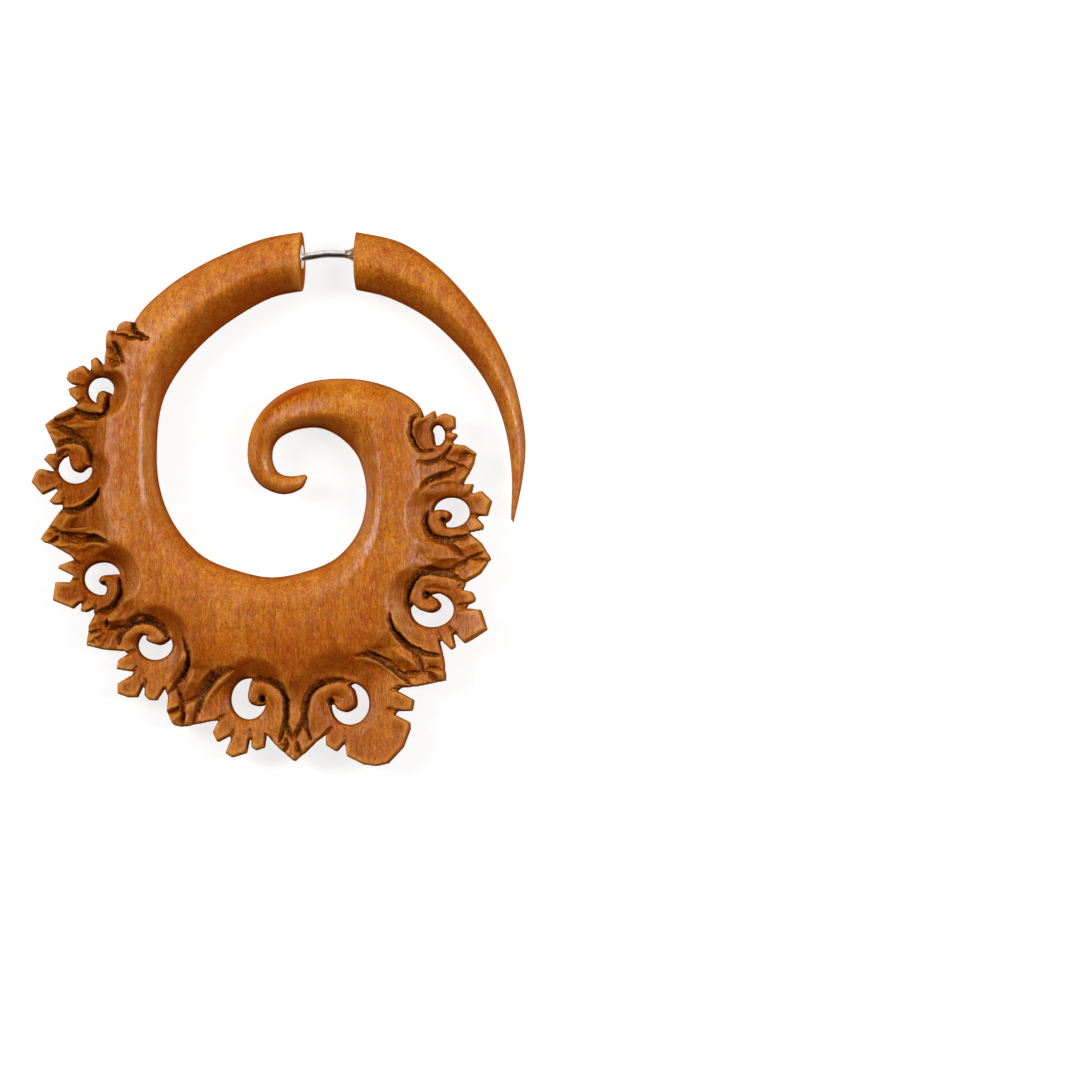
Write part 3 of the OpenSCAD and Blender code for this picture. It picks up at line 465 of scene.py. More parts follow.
TOOTH_CUT = [0.45, 0.3, 0.3]        # a cut between two teeth: depth; width of each side
TOOTH_CUT_AT = [-0.8, 0, 0.6, 1.2]  # and its points, inward from the foot between the teeth
TOOTH_DISH = 0.12           # hollow of the teeth inside their edges
TOOTH_RIM, RIM_SOFT = (0.2, 1.1), 0.4   # it sets in between these distances from them, softly
TOOTH_FROM = 0.3            # and from this far past the spiral's outline
FINGER_GROOVE = 0.3         # groove on both sides of a finger, as a share of its rise
BEVEL_W, BEVEL_D = 0.30, 0.20   # worn bevel along the edges of the border
DISH_D, DISH_W = 0.55, 0.75     # hollow of a scroll round its hole: depth, and width as a share
DISH_FROM = 0.8             # where it starts, inside the hole, as a share of the hole
DISH_FADE = 0.9             # angle in radians over which it fades beside the finger
FACET_BLEND = 0.5           # width of the blend round a group of facets
FACETS_SET_IN = -1.2, 0.8   # they set in from here to there past the spiral's outline
# Unevenness of the hand's work, in layers: height; size of the lumps; seed.
LUMPS = [[0.045, 2.3, 3], [0.03, 1.1, 4], [0.02, 0.5, 5]]
LUMPS_FULL = 1.5            # half thickness from which it is at its fullest
RAGGED = [[0.08, 0.8, 7], [0.08, 0.35, 8]]      # how far a cut strays from its line
HOLLOW_SIZE, HOLLOW_D = 0.9, 0.35   # what counts as a hollow: size and depth
CARVED_D, CARVED_FADE = 0.6, 1.4    # depth from which wood counts as carved, and its soft edge
REDDER_LEFT = 14, 20, 1.3   # the painted shade of the carved wood is deeper and redder from here to there on the left; how much
DULL_SHADE_CORE = 0.6             # half width of the dull wood with painted shade, where both are at their fullest

SPIRAL_STEPS, TAPER_STEPS = 6, 16   # sections from one row of the table to the next
SPIRAL_TRIANGLES = 190000
SOFTEN = 0.4                # how far the points of the spiral's mesh are evened out
TAPER_HALF_ROUND = 40       # faces round one half of the taper
SLEEVE_ROUND, PIN_ROUND, GLUE_ROUND = 96, 64, 72    # and round the turned pieces
# The turned pieces have a hair-thin hole on their axis, so that no face there is without a size.
SLEEVE_HAIR, PIN_HAIR = 0.01, 0.005

RASP_MARKS = 14, 9          # dents of the rasp along the taper and across it
RASP_D = 0.02               # and their depth, as a share of the thickness
SLEEVE_ROOM = 0.05          # room round the sleeve in its bore
PIN_ROOM = 0.03             # room round the pin in the sleeve, and before its end
PIN_TIP = 0.18              # rounding of the pin's ends
GLUE_THIN = 0.02            # thickness of the glue where it runs out on the pin
GLUE_IN = 0.5               # how far it reaches into the taper
GLUE_FLARE = 1.7            # how hollow its flare is
GLUE_STRANDS = 0.10         # how far it is drawn in between its strands, as a share

PHOTO_PX = 1084             # the photograph's side, and what its pixels are
PX_PER_MM = 9.0
MIDDLE_PX = (278.0, 499.0)  # the pixel of the outline's middle
PICTURE_MM = 119.2          # width of the picture at the middle of the board
CAMERA_AWAY = 2.0           # metres
CAMERA_TURN = (6.5, 2.5)    # degrees to the right of straight above, and below it
SENSOR_MM = 36
SKY = 0.03                  # light from all round
FLOOR_SIZE = 6.0            # metres
FLOOR_GLOW = 0.80
# The lights: place in metres; size; power.
SOFTBOXES = [
    ["left_softbox", (-0.58, 0.20, 0.54), (0.22, 0.6), 6.2],
    ["right_softbox", (0.58, 0.04, 0.54), (0.22, 0.6), 5.4],
    ["top_softbox", (0.0, 1.17, 0.91), (3.0, 1.5), 18.6]]

WOOD_LIGHT = (0.47, 0.155, 0.007)
WOOD_MIDDLE = (0.40, 0.105, 0.004)
WOOD_DEEP = (0.21, 0.035, 0.001)
WOOD_PALE = (0.66, 0.30, 0.05)
WOOD_RED = (0.34, 0.045, 0.003)
WOOD_PORE = (0.09, 0.018, 0.002)
WOOD_VEIN = (0.20, 0.006, 0.001)
# Painted shade, on the walls and on faces turned down.
WOOD_SIDE_SHADE = (0.20, 0.022, 0.001)
WOOD_SHADE = (0.13, 0.020, 0.001)
# The colour that the deepest cuts are darkened to.
WOOD_CUT_DARK = (0.028, 0.011, 0.002)
# Pale specks in the cuts: nicks, and painted glints.
WOOD_NICK_GLINT = (0.70, 0.38, 0.08)
# Multiplied in to darken: towards the bottom, and as painted shade on the dull wood by the curl.
DARKENING_TINT = (0.83, 0.64, 0.30)
CARVED_SHADE = (0.54, 0.37, 0.35)
SLEEVE_BRIGHT = (0.80, 0.79, 0.76)
SLEEVE_WORN = (0.52, 0.50, 0.47)
STEEL_BRIGHT = (0.74, 0.72, 0.68)
STEEL_TARNISHED = (0.42, 0.38, 0.32)
# Painted shade on the pin's underside.
STEEL_SHADED_BELOW = (0.16, 0.145, 0.11)
GLUE_DARK = (0.10, 0.045, 0.012)
GLUE_CLOUDY = (0.36, 0.20, 0.07)
GLUE_GRIT = (0.04, 0.02, 0.01)
FLOOR_GREY = (0.22, 0.22, 0.22, 1)

# The noises of the grain: what the place along it is multiplied by, which draws them out; scale;
# detail; roughness.
GRAIN = {
    "broad": (0.45, 0.16, 2.0, 0.55),
    "columns": (0.05, 0.8, 3.0, 0.6),
    "streaks": (0.12, 1.5, 4.0, 0.6),
    "mottle": (0.6, 1.2, 3.0, 0.6),
    "fine": (0.18, 5.0, 3.0, 0.65),
    "weave": (1.0, 3.4, 3.0, 0.8),
    "pores": (0.2, 6.0, 1.0, 0.55)}
# How they colour the wood, one over the other: noise; where its colour sets in and is at its
# fullest; how strong it is there; colour.
GRAIN_COLOURS = [
    ["broad", 0.38, 0.62, 1.0, WOOD_MIDDLE],
    ["columns", 0.52, 0.70, 0.45, WOOD_DEEP],
    ["columns", 0.46, 0.30, 0.30, WOOD_PALE],
    ["streaks", 0.46, 0.72, 0.65, WOOD_DEEP],
    ["mottle", 0.48, 0.66, 0.50, WOOD_RED],
    ["fine", 0.48, 0.72, 0.50, WOOD_PALE],
    ["weave", 0.46, 0.72, 0.80, WOOD_DEEP]]


def curve_point(rows, u):
    """A row of a table at place u, on a smooth curve through its rows."""
    last = len(rows) - 1
    i = min(int(u), last - 1)
    t = u - i
    a, b, c, d = (np.array(rows[k], float) for k in (max(i - 1, 0), i, i + 1, min(i + 2, last)))
    return 0.5 * (2 * b + (c - a) * t + (2 * a - 5 * b + 4 * c - d) * t * t
                  + (3 * b - a - 3 * c + d) * t ** 3)


def smooth_line(rows, steps=8):
    """Points, or rows of a table, along a smooth curve through the given ones."""
    return np.array([curve_point(rows, k / steps) for k in range((len(rows) - 1) * steps + 1)])


def smoothstep(low, high, v):
    """0 at low, 1 at high, which may lie below it, and a smooth change between them."""
    t = np.clip((v - low) / (high - low), 0, 1)
    return t * t * (3 - 2 * t)


def softer_max(a, b, radius):
    """The greater of the two, the bend from one to the other rounded."""
    gap = np.maximum(radius - np.abs(a - b), 0)
    return np.maximum(a, b) + gap * gap / (4 * radius)


def blurred(field, width):
    """The field with detail smaller than width, in mm, smoothed away."""
    reach = math.ceil(width / PITCH * 1.5)
    taps = np.exp(-0.5 * (np.arange(-reach, reach + 1) * PITCH / (width / 2)) ** 2)
    taps /= taps.sum()
    for _ in range(2):
        wide = np.pad(field, [(reach, reach), (0, 0)], mode="edge")
        field = sum(w * wide[k:k + len(field)] for k, w in enumerate(taps)).T
    return field


def bilinear(grid, i, j, fi, fj):
    """The values of a grid between its points."""
    a, b = grid[i, j], grid[i + 1, j]
    c, d = grid[i, j + 1], grid[i + 1, j + 1]
    return (a * (1 - fi) + b * fi) * (1 - fj) + (c * (1 - fi) + d * fi) * fj


class Board:
    """The plane of the board as a grid of points, and what is known at each of them."""

    def __init__(self, low, high):
        self.low = np.array(low, float) - MARGIN
        self.count = np.ceil((np.array(high, float) + MARGIN - self.low) / PITCH).astype(int) + 1
        self.xs, self.ys = (self.low[k] + PITCH * np.arange(self.count[k]) for k in (0, 1))
        self.x, self.y = np.meshgrid(self.xs, self.ys, indexing="ij")

    def window(self, points, reach):
        """The part of the grid within reach of the points, as a pair of slices."""
        p = np.asarray(points, float)
        a = np.floor((p.min(0) - reach - self.low) / PITCH).astype(int)
        b = np.ceil((p.max(0) + reach - self.low) / PITCH).astype(int) + 1
        a, b = np.clip(a, 0, self.count - 1), np.clip(b, 1, self.count)
        return slice(a[0], b[0]), slice(a[1], b[1])

    def value(self, field, at):
        """A map's value at a place."""
        i, j = np.round((np.asarray(at) - self.low) / PITCH).astype(int)
        return field[i, j]

    def inside(self, polygon):
        """True at the points inside a closed polygon."""
        crossings = np.zeros((self.count[0] + 1, self.count[1]), int)
        p = np.asarray(polygon, float)
        for (x0, y0), (x1, y1) in zip(p, np.roll(p, -1, 0)):
            if y0 == y1:
                continue
            rows = np.nonzero((self.ys >= min(y0, y1)) & (self.ys < max(y0, y1)))[0]
            at = x0 + (self.ys[rows] - y0) * (x1 - x0) / (y1 - y0)
            columns = np.clip(np.ceil((at - self.low[0]) / PITCH).astype(int), 0, self.count[0])
            np.add.at(crossings, (columns, rows), 1)
        return np.cumsum(crossings, 0)[:-1] % 2 == 1

    def stretch(self, w, a, b):
        """In a window: distance from the line a to b, share of it passed, side (left is +)."""
        run = b - a
        x, y = self.x[w] - a[0], self.y[w] - a[1]
        t = np.clip((x * run[0] + y * run[1]) / max(run @ run, 1e-9), 0, 1)
        return np.hypot(x - t * run[0], y - t * run[1]), t, run[0] * y - run[1] * x

    def distance(self, outline, reach):
        """Distance from a closed line of points, no more than reach."""
        found = np.full(self.x.shape, reach)
        for a, b in zip(outline, np.roll(outline, -1, 0)):
            w = self.window([a, b], reach)
            found[w] = np.minimum(found[w], self.stretch(w, a, b)[0])
        return found

    def along(self, line, reach):
        """Near a line of points: the window, the distance (left is +), the share along the line."""
        w = self.window(line, reach)
        lengths = np.hypot(*np.diff(line, axis=0).T)
        starts = np.concatenate([[0], np.cumsum(lengths)])
        best = np.full(self.x[w].shape, reach * 2)
        side, share = np.zeros(best.shape), np.zeros(best.shape)
        for k, (a, b) in enumerate(zip(line, line[1:])):
            away, passed, left = self.stretch(w, a, b)
            nearer = away < best
            best[nearer], side[nearer] = away[nearer], left[nearer]
            share[nearer] = (starts[k] + passed[nearer] * lengths[k]) / starts[-1]
        return w, np.where(side >= 0, best, -best), share

    def stripe(self, half_width, points, shape):
        """A map of a stripe along points: its shape, by the shares across and along it."""
        w, side, share = self.along(smooth_line(points), half_width + 0.2)
        found = np.zeros(self.x.shape)
        found[w] = shape(np.abs(side) / half_width, share)
        return found

    def uneven(self, layers):
        """Soft unevenness in layers of lumps."""
        found = np.zeros(self.x.shape)
        for height, size, seed in layers:
            draw = np.random.RandomState(seed)
            knots = draw.uniform(-1, 1, np.ceil((self.count * PITCH) / size).astype(int) + 3)
            gx, gy = (self.xs - self.xs[0]) / size, (self.ys - self.ys[0]) / size
            i, j = gx.astype(int), gy.astype(int)
            fi, fj = smoothstep(0, 1, gx - i), smoothstep(0, 1, gy - j)
            found += height * bilinear(knots, i[:, None], j, fi[:, None], fj)
        return found


def hole_line(row, steps=40):
    """The outline of a scroll's hole: a stretch of an oval, then the finger on a smooth curve."""
    x, y, half_w, half_h, start, end, finger = row
    angles = np.radians(np.linspace(start, end, steps))
    arc = np.stack([x + half_w * np.cos(angles), y + half_h * np.sin(angles)], 1)
    return np.concatenate([arc, smooth_line([arc[-1], *finger, arc[0]], 6)[1:-1]])


def border_line():
    """The outline of the border: its edge, and the way back under the spiral."""
    rows = np.array(SPIRAL)[LAST_BORDER_ROW:FIRST_BORDER_ROW - 1:-1]
    under = rows[:, 0:2] + (rows[:, 2:4] - rows[:, 0:2]) * BORDER_REACH
    return np.concatenate([*BORDER_EDGE, under])


def spiral_section(board, rows):
    """At each point of the board: how far across the spiral it is, and at which of its rows."""
    across = np.full(board.x.shape, 99.0)
    place = np.zeros(board.x.shape)
    before, past = 0.08, 0.25       # the sections are followed this far past their edges
    for k in range(len(rows) - 1):
        o0, i0, o1, i1 = rows[k, 0:2], rows[k, 2:4], rows[k + 1, 0:2], rows[k + 1, 2:4]
        w = board.window([o0 + (o0 - i0) * past, i0, o1 + (o1 - i1) * past, i1], PITCH)
        x, y = board.x[w], board.y[w]
        d0, d1 = (o0 - i0) / np.hypot(*(o0 - i0)), (o1 - i1) / np.hypot(*(o1 - i1))
        a = (x - i0[0]) * d0[1] - (y - i0[1]) * d0[0]
        b = (x - i1[0]) * d1[1] - (y - i1[1]) * d1[0]
        f = np.clip(a / np.where(np.abs(a - b) < 1e-9, 1e-9, a - b), 0, 1)
        ix, iy = i0[0] + (i1[0] - i0[0]) * f, i0[1] + (i1[1] - i0[1]) * f
        ox, oy = o0[0] + (o1[0] - o0[0]) * f, o0[1] + (o1[1] - o0[1]) * f
        s = ((x - ix) * (ox - ix) + (y - iy) * (oy - iy)) / ((ox - ix) ** 2 + (oy - iy) ** 2)
        better = (a * b <= 0) & (s > -before) & (s < 1 + past)
        better &= np.abs(s - 0.5) < np.abs(across[w] - 0.5)
        across[w] = np.where(better, s, across[w])
        place[w] = np.where(better, k + f, place[w])
    return across, place


def section_height(share, crest, top, edge, square_in, square_out):
    """Half thickness at a share of the way from the inner to the outer edge of a section."""
    inner = np.clip((crest - share) / crest, 0, 1)
    outer = np.clip((share - crest) / (1 - crest), 0, 1)
    return np.where(share < crest, top * (1 - inner ** square_in) ** (1 / square_in),
                    edge + (top - edge) * (1 - outer ** square_out) ** (1 / square_out))


def spiral_height(board, rows):
    """Half thickness of the spiral, and of the border where it leaves the spiral."""
    share, place = spiral_section(board, rows)
    crest, top, edge, square_in, square_out, root = (
        np.interp(place, np.arange(len(rows)), rows[:, column]) for column in range(4, 10))
    height = section_height(share, crest, np.minimum(top, FULL), np.maximum(edge, 0),
                            square_in, square_out)
    return np.where((share < 0) | (share > 1), 0.0, height), root


def carve_coves(board, ground):
    """Cuts the hollow that each scroll lies in."""
    for x, y, floor_r, rim_r, hollow in COVES:
        r = np.hypot(board.x - x, board.y - y)
        rise = np.clip((r - floor_r) / (rim_r - floor_r), 0, None)
        cove = RING_H + (COVE_TOP - RING_H) * rise ** hollow
        ground = np.where(r < rim_r + COVE_NEAR, -softer_max(-ground, -cove, COVE_JOIN), ground)
    return ground


def dish_scrolls(board, ground):
    """Hollows the scrolls round their holes, but for the fingers."""
    for x, y, half_w, half_h, start, end, _ in HOLES:
        dx, dy = (board.x - x) / half_w, (board.y - y) / half_h
        out = np.hypot(dx, dy)
        middle, half = math.radians((start + end) / 2), math.radians((end - start) / 2)
        turn = np.abs((np.arctan2(dy, dx) - middle + math.pi) % (2 * math.pi) - math.pi)
        open_side = 1 - smoothstep(half - DISH_FADE, half, turn)
        hollow = np.clip(1 - (out - 1) / DISH_W, 0, 1) ** 2
        ground -= DISH_D * open_side * hollow * (out > DISH_FROM)


def carve_facets(board, wood, ground, past_band):
    """Lays the facets into the height map, and blends their outer rim with what is round them."""
    laid = np.zeros(ground.shape, bool)
    facet = ground.copy()
    slack = 0.02        # the triangles overlap by this share, so that no point is left out
    for row in FACETS:
        corners = np.array([c if len(c) == 3 else [*c, board.value(ground, c)] for c in row])
        middle = corners.mean(0)
        for a, b in zip(corners, np.roll(corners, -1, 0)):
            w = board.window([middle[:2], a[:2], b[:2]], PITCH)
            x, y = board.x[w] - middle[0], board.y[w] - middle[1]
            (ax, ay, az), (bx, by, bz) = a - middle, b - middle
            size = ax * by - ay * bx
            u, v = (x * by - y * bx) / size, (ax * y - ay * x) / size
            within = (u >= -slack) & (v >= -slack) & (u + v <= 1 + slack)
            facet[w] = np.where(within, middle[2] + u * az + v * bz, facet[w])
            laid[w] |= within
    share = np.clip(3 * blurred((laid | ~wood).astype(float), FACET_BLEND) - 1.5, 0, 1) * laid
    share *= smoothstep(*FACETS_SET_IN, past_band)
    return ground + (facet - ground) * share


def tooth_cuts():
    """A short cut inward from each foot between two teeth, toward the nearest scroll."""
    middles = np.array([h[0:2] for h in HOLES])
    for row in BORDER_EDGE[1:]:
        foot = np.array(row[0])
        way = middles[np.argmin(np.hypot(*(middles - foot).T))] - foot
        way /= np.hypot(*way)
        yield [*TOOTH_CUT, [foot + at * way for at in TOOTH_CUT_AT]]


def make_cuts(board, ground):
    """Sinks the cuts and the eyes, and returns a map of how deep they are, by which they are
    darkened.
    """
    dirt = np.zeros(board.x.shape)
    ragged = board.uneven(RAGGED)
    for depth, steep, gentle, points in [*CUTS, *tooth_cuts()]:
        w, side, share = board.along(smooth_line(points), gentle + 0.5)
        side = side + ragged[w]
        fade = np.clip(np.sin(math.pi * share), 0, 1) ** CUT_POINT
        width = np.where(side >= 0, steep, gentle) * CUT_WIDER
        wall = np.clip(fade - np.abs(side) / width, 0, 1)
        ground[w] -= depth * wall * (1 + CUT_UNEVEN * ragged[w])
        dirt[w] = np.maximum(dirt[w], wall * min(depth, 1.0))
    for rise, width, points in RIDGES:
        ground += rise * board.stripe(width, points, ridge_top)
    for x, y, radius, depth in EYES:
        pit = 1 - (np.hypot(board.x - x, board.y - y) / radius) ** 2
        ground -= depth * np.clip(pit, 0, 1)
        dirt = np.maximum(dirt, np.clip(1.6 * pit, 0, 1))
    return dirt


def finger_top(across, along):
    """A round back with a groove on both sides, which rises out of the wood at its start."""
    back = np.sqrt(np.clip(1 - across ** 2, 0, 1))
    return (back - FINGER_GROOVE) * (back > 0) * smoothstep(0, 0.25, along)


def ridge_top(across, along):
    """A sharp ridge that fades at both ends."""
    return smoothstep(0, 0.35, np.minimum(along, 1 - along)) * np.clip(1 - across, 0, 1)


def vein_share(across, along):
    """Full over half its width, and fading at its sides and both ends."""
    return np.clip(2 - 2 * across, 0, 1) * np.sin(math.pi * along) ** 0.6


def dull_shade_share(across, along):
    """Full over its core, and fading at its sides and both ends."""
    return smoothstep(1, DULL_SHADE_CORE / DULL_SHADED_STRIPE[0], across) * np.sin(math.pi * along) ** 0.4


def carve_spiral():
    """The carved spiral: its board, distance past its outline, half thickness, and maps for its
    colour and shine.
    """
    rows = smooth_line(SPIRAL, SPIRAL_STEPS)
    band, border = np.concatenate([rows[:, 0:2], rows[::-1, 2:4]]), border_line()
    corners = np.concatenate([band, border])
    board = Board(corners.min(0), corners.max(0))
    in_band, on_border = board.inside(band), board.inside(border)
    wood = in_band | on_border
    gaps = [np.where(in_band, EDGE_NEAR, board.distance(border, EDGE_NEAR)),
            np.where(on_border, EDGE_NEAR, board.distance(band, EDGE_NEAR))]
    for hole in map(hole_line, HOLES):
        wood &= ~board.inside(hole)
        gaps.append(board.distance(hole, EDGE_NEAR))
    edge_gap = np.minimum.reduce(gaps)
    past_band = np.where(in_band, -1, 1) * board.distance(band, BAND_NEAR)

    height, root = spiral_height(board, rows)
    fan = blurred(root, FAN_ROOT) - FAN_SLOPE * np.maximum(past_band, 0)
    fan = softer_max(FAN_H, fan, FAN_JOIN)
    ground = np.where(on_border, softer_max(height * in_band, fan, BAND_JOIN), height)
    ground = carve_coves(board, ground)
    dish_scrolls(board, ground)
    teeth = blurred(smoothstep(*TOOTH_RIM, edge_gap), RIM_SOFT)
    ground -= TOOTH_DISH * teeth * np.clip(past_band - TOOTH_FROM, 0, 1)
    for rise, width, points in FINGERS:
        ground += rise * board.stripe(width, points, finger_top)
    ground = carve_facets(board, wood, ground, past_band)
    dirt = make_cuts(board, ground)
    bevel = np.clip(1 - edge_gap / BEVEL_W, 0, 1) ** 2 * np.clip(1 + past_band, 0, 1)
    ground -= BEVEL_D * bevel * on_border
    ground += board.uneven(LUMPS) * np.clip(ground / LUMPS_FULL, 0, 1)
    ground = np.where(wood & on_border, np.maximum(ground, THINNEST), ground)
    ground = np.minimum(ground, FULL)

    carved = blurred((on_border & (FULL - ground > CARVED_D)).astype(float), CARVED_FADE)
    here, there, redder = REDDER_LEFT
    maps = {"dirt": dirt,
            "hollow": np.clip((blurred(ground, HOLLOW_SIZE) - ground) / HOLLOW_D, -1, 1),
            "border": carved * (1 + redder * smoothstep(here, there, -board.x)),
            "vein": board.stripe(*VEIN, vein_share),
            "dull": board.stripe(*DULL_SHADED_STRIPE, dull_shade_share)}
    return board, np.where(wood, -edge_gap, edge_gap), ground, maps


def solid_field(past_outline, height):
    """The layers above and below the middle, and a field over them that is 0 on the surface."""
    layers = math.ceil((FULL + 2 * PITCH) / PITCH)
    zs = PITCH * np.arange(-layers, layers + 1)
    slope = blurred(np.hypot(*np.gradient(height, PITCH)), 2 * PITCH)
    steepness = np.sqrt(1 + np.minimum(slope, STEEPEST) ** 2)
    above = ((np.abs(zs) - height[:, :, None]) / steepness[:, :, None]).astype(np.float32)
    return zs, softer_max(past_outline[:, :, None].astype(np.float32), above, 2 * EDGE_R)


def new_piece(name, points, faces):
    """A piece from points in mm, in the row frame, and its faces."""
    mesh = bpy.data.meshes.new(name)
    mesh.from_pydata((np.asarray(points) * MM).tolist(), [], faces)
    mesh.validate()
    mesh.shade_smooth()
    piece = bpy.data.objects.new(name, mesh)
    bpy.context.collection.objects.link(piece)
    return piece


def mesh_from_field(name, corner, field, triangles):
    """A piece whose surface lies where the field is 0, in no more than so many triangles."""
    grid = openvdb.FloatGrid(background=1.0)
    grid.copyFromArray(np.clip(field, -1, 1))
    points, _, quads = grid.convertToPolygons(isovalue=0.0, adaptivity=0.0)
    piece = new_piece(name, points * PITCH + np.array(corner), quads.tolist())
    soften = piece.modifiers.new("soften", "SMOOTH")
    soften.factor, soften.iterations = SOFTEN, 1
    thin_out = piece.modifiers.new("thin_out", "DECIMATE")
    thin_out.ratio = min(1.0, triangles / (2 * len(quads)))
    bpy.context.view_layer.update()
    evaluated = piece.evaluated_get(bpy.context.evaluated_depsgraph_get())
    first, final = piece.data, bpy.data.meshes.new_from_object(evaluated)
    piece.modifiers.clear()
    piece.data = final
    bpy.data.meshes.remove(first)
    final.name = name
    return piece


def point_values(piece, name):
    """A vector of each of the piece's points, such as its place."""
    found = np.zeros(len(piece.data.vertices) * 3)
    piece.data.vertices.foreach_get(name, found)
    return found.reshape(-1, 3)


def write_note(piece, name, value):
    """Writes a value for each of the piece's points, for its material."""
    note = piece.data.attributes.new(name, "FLOAT", "POINT")
    note.data.foreach_set("value", value.astype(np.float32))


def note_maps(piece, board, maps):
    """Writes the maps of the board onto the piece."""
    at = (point_values(piece, "co")[:, 0:2] / MM - board.low) / PITCH
    i = np.clip(at.astype(int), 0, board.count - 2)
    f = np.clip(at - i, 0, 1)
    for name, field in maps.items():
        write_note(piece, name, bilinear(field, *i.T, *f.T))


def note_facing(piece):
    """Notes where the surface is steep, 1 on a wall square to the board, and faces down or up."""
    _, up, out = point_values(piece, "normal").T
    write_note(piece, "steep", smoothstep(0.85, 0.15, np.abs(out)))
    write_note(piece, "under", smoothstep(0.0, 0.65, -up))
    write_note(piece, "over", smoothstep(0.15, 0.6, up))


def placed(piece, node, body, finish):
    """Puts a piece in the place of its solid, on its body and its material."""
    piece.data.materials.clear()
    piece.data.materials.append(finish)
    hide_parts(node)
    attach(piece, body)


def make_carved_spiral():
    """The carved spiral, with the bore that the sleeve sits in."""
    board, past_outline, height, maps = carve_spiral()
    zs, field = solid_field(past_outline, height)
    from_axis = np.hypot(board.y[:, :, None] - PIN_Y, zs)
    bore = np.maximum(from_axis - (SLEEVE_R + SLEEVE_ROOM),
                      SOCKET_X - SLEEVE_LEN - board.x[:, :, None])
    field = np.maximum(field, -bore.astype(np.float32))
    piece = mesh_from_field("carved_spiral_wood", [*board.low, zs[0] + FULL], field,
                            SPIRAL_TRIANGLES)
    note_maps(piece, board, maps)
    note_facing(piece)
    placed(piece, "carved_spiral", "spiral", wood("carved_wood", True))


def ring_faces(count, around, closed):
    """Faces from each ring of points to the next, and from the last to the first if closed."""
    quads = []
    for k in range(count if closed else count - 1):
        near, far = k * around, (k + 1) % count * around
        quads += [[near + j, near + (j + 1) % around, far + (j + 1) % around, far + j]
                  for j in range(around)]
    return quads


def make_taper():
    """The taper, swept along its curve, with a soft ridge on each face and marks of the rasp."""
    rows = smooth_line(TAPER, TAPER_STEPS)
    spread = 0.5 - 0.5 * np.cos(np.pi * np.arange(TAPER_HALF_ROUND + 1) / TAPER_HALF_ROUND)
    marks_along, marks_across = RASP_MARKS
    marks = np.random.RandomState(8).uniform(-1, 1, RASP_MARKS)
    rings = []
    for way, row in zip(np.linspace(0, 1, len(rows)), rows):
        outer, inner = row[0:2], row[2:4]
        high = section_height(spread, row[4], min(row[5], FULL), 0.0, row[7], row[8])
        at = way * (marks_along - 1.01)
        mix = smoothstep(0, 1, at - int(at))
        across = (1 - mix) * marks[int(at)] + mix * marks[int(at) + 1]
        rasp = np.interp(spread * (marks_across - 1), np.arange(marks_across), across)
        high = high * (1 - RASP_D + RASP_D * rasp * smoothstep(0, 0.04, way))
        flat = inner + (outer - inner) * spread[:, None]
        rings.append(np.concatenate([np.column_stack([flat, FULL + high]),
                                     np.column_stack([flat, FULL - high])[-2:0:-1]]))
    around, points = len(rings[0]), np.concatenate(rings)
    faces = [[a, d, c, b] for a, b, c, d in ring_faces(len(rings), around, False)]
    ends = [list(range(around)), list(range(len(points) - around, len(points)))[::-1]]
    piece = new_piece("taper_wood", points, faces + ends)
    note_facing(piece)
    placed(piece, "taper", "taper", wood("taper_wood", False))


def turned(name, profile, axis, around, wobble=lambda angles, x: 0 * angles):
    """A piece turned about an axis along +X: radius and x along the profile, which is closed."""
    angles = 2 * np.pi * np.arange(around) / around
    points = []
    for r, x in profile:
        y, z = axis(x)
        points += [(x, y + q * math.cos(t), z + q * math.sin(t))
                   for q, t in zip(r * (1 + wobble(angles, x)), angles)]
    return new_piece(name, points, ring_faces(len(profile), around, True))


def rounded(corners, radius, steps=5):
    """A closed profile with its corners rounded, each by its own radius."""
    line, ring = [], np.array(corners, float)
    for last, here, then, r in zip(np.roll(ring, 1, 0), ring, np.roll(ring, -1, 0), radius):
        start = here + (last - here) / np.hypot(*(last - here)) * r
        end = here + (then - here) / np.hypot(*(then - here)) * r
        line += [(1 - t) ** 2 * start + 2 * t * (1 - t) * here + t * t * end
                 for t in np.linspace(0, 1, steps + 1)]
    return line


def make_sleeve():
    """The lining tube of the socket: open at the face, closed at its bottom, its lip rounded."""
    bore_r, bottom = PIN_R + PIN_ROOM, SOCKET_X - PIN_IN_SLEEVE - PIN_ROOM
    back = SOCKET_X - SLEEVE_LEN
    corners = [(SLEEVE_HAIR, back), (SLEEVE_R, back), (SLEEVE_R, SOCKET_X), (bore_r, SOCKET_X),
               (bore_r, bottom), (SLEEVE_HAIR, bottom)]
    profile = rounded(corners, [0.001, 0.2, 0.10, 0.16, 0.05, 0.001])
    piece = turned("sleeve_metal", profile, lambda x: (PIN_Y, FULL), SLEEVE_ROUND)
    placed(piece, "socket_sleeve", "sleeve", sleeve_finish())


def pin_middle(x):
    """The pin is bent a little between the two faces."""
    rise = smoothstep(SOCKET_X - 0.1, SOCKET_X + 2.9, x)
    fall = smoothstep(SOCKET_X + 2.7, TAPER_X + 0.3, x)
    return PIN_Y + PIN_BEND * (rise - 0.35 * fall), FULL


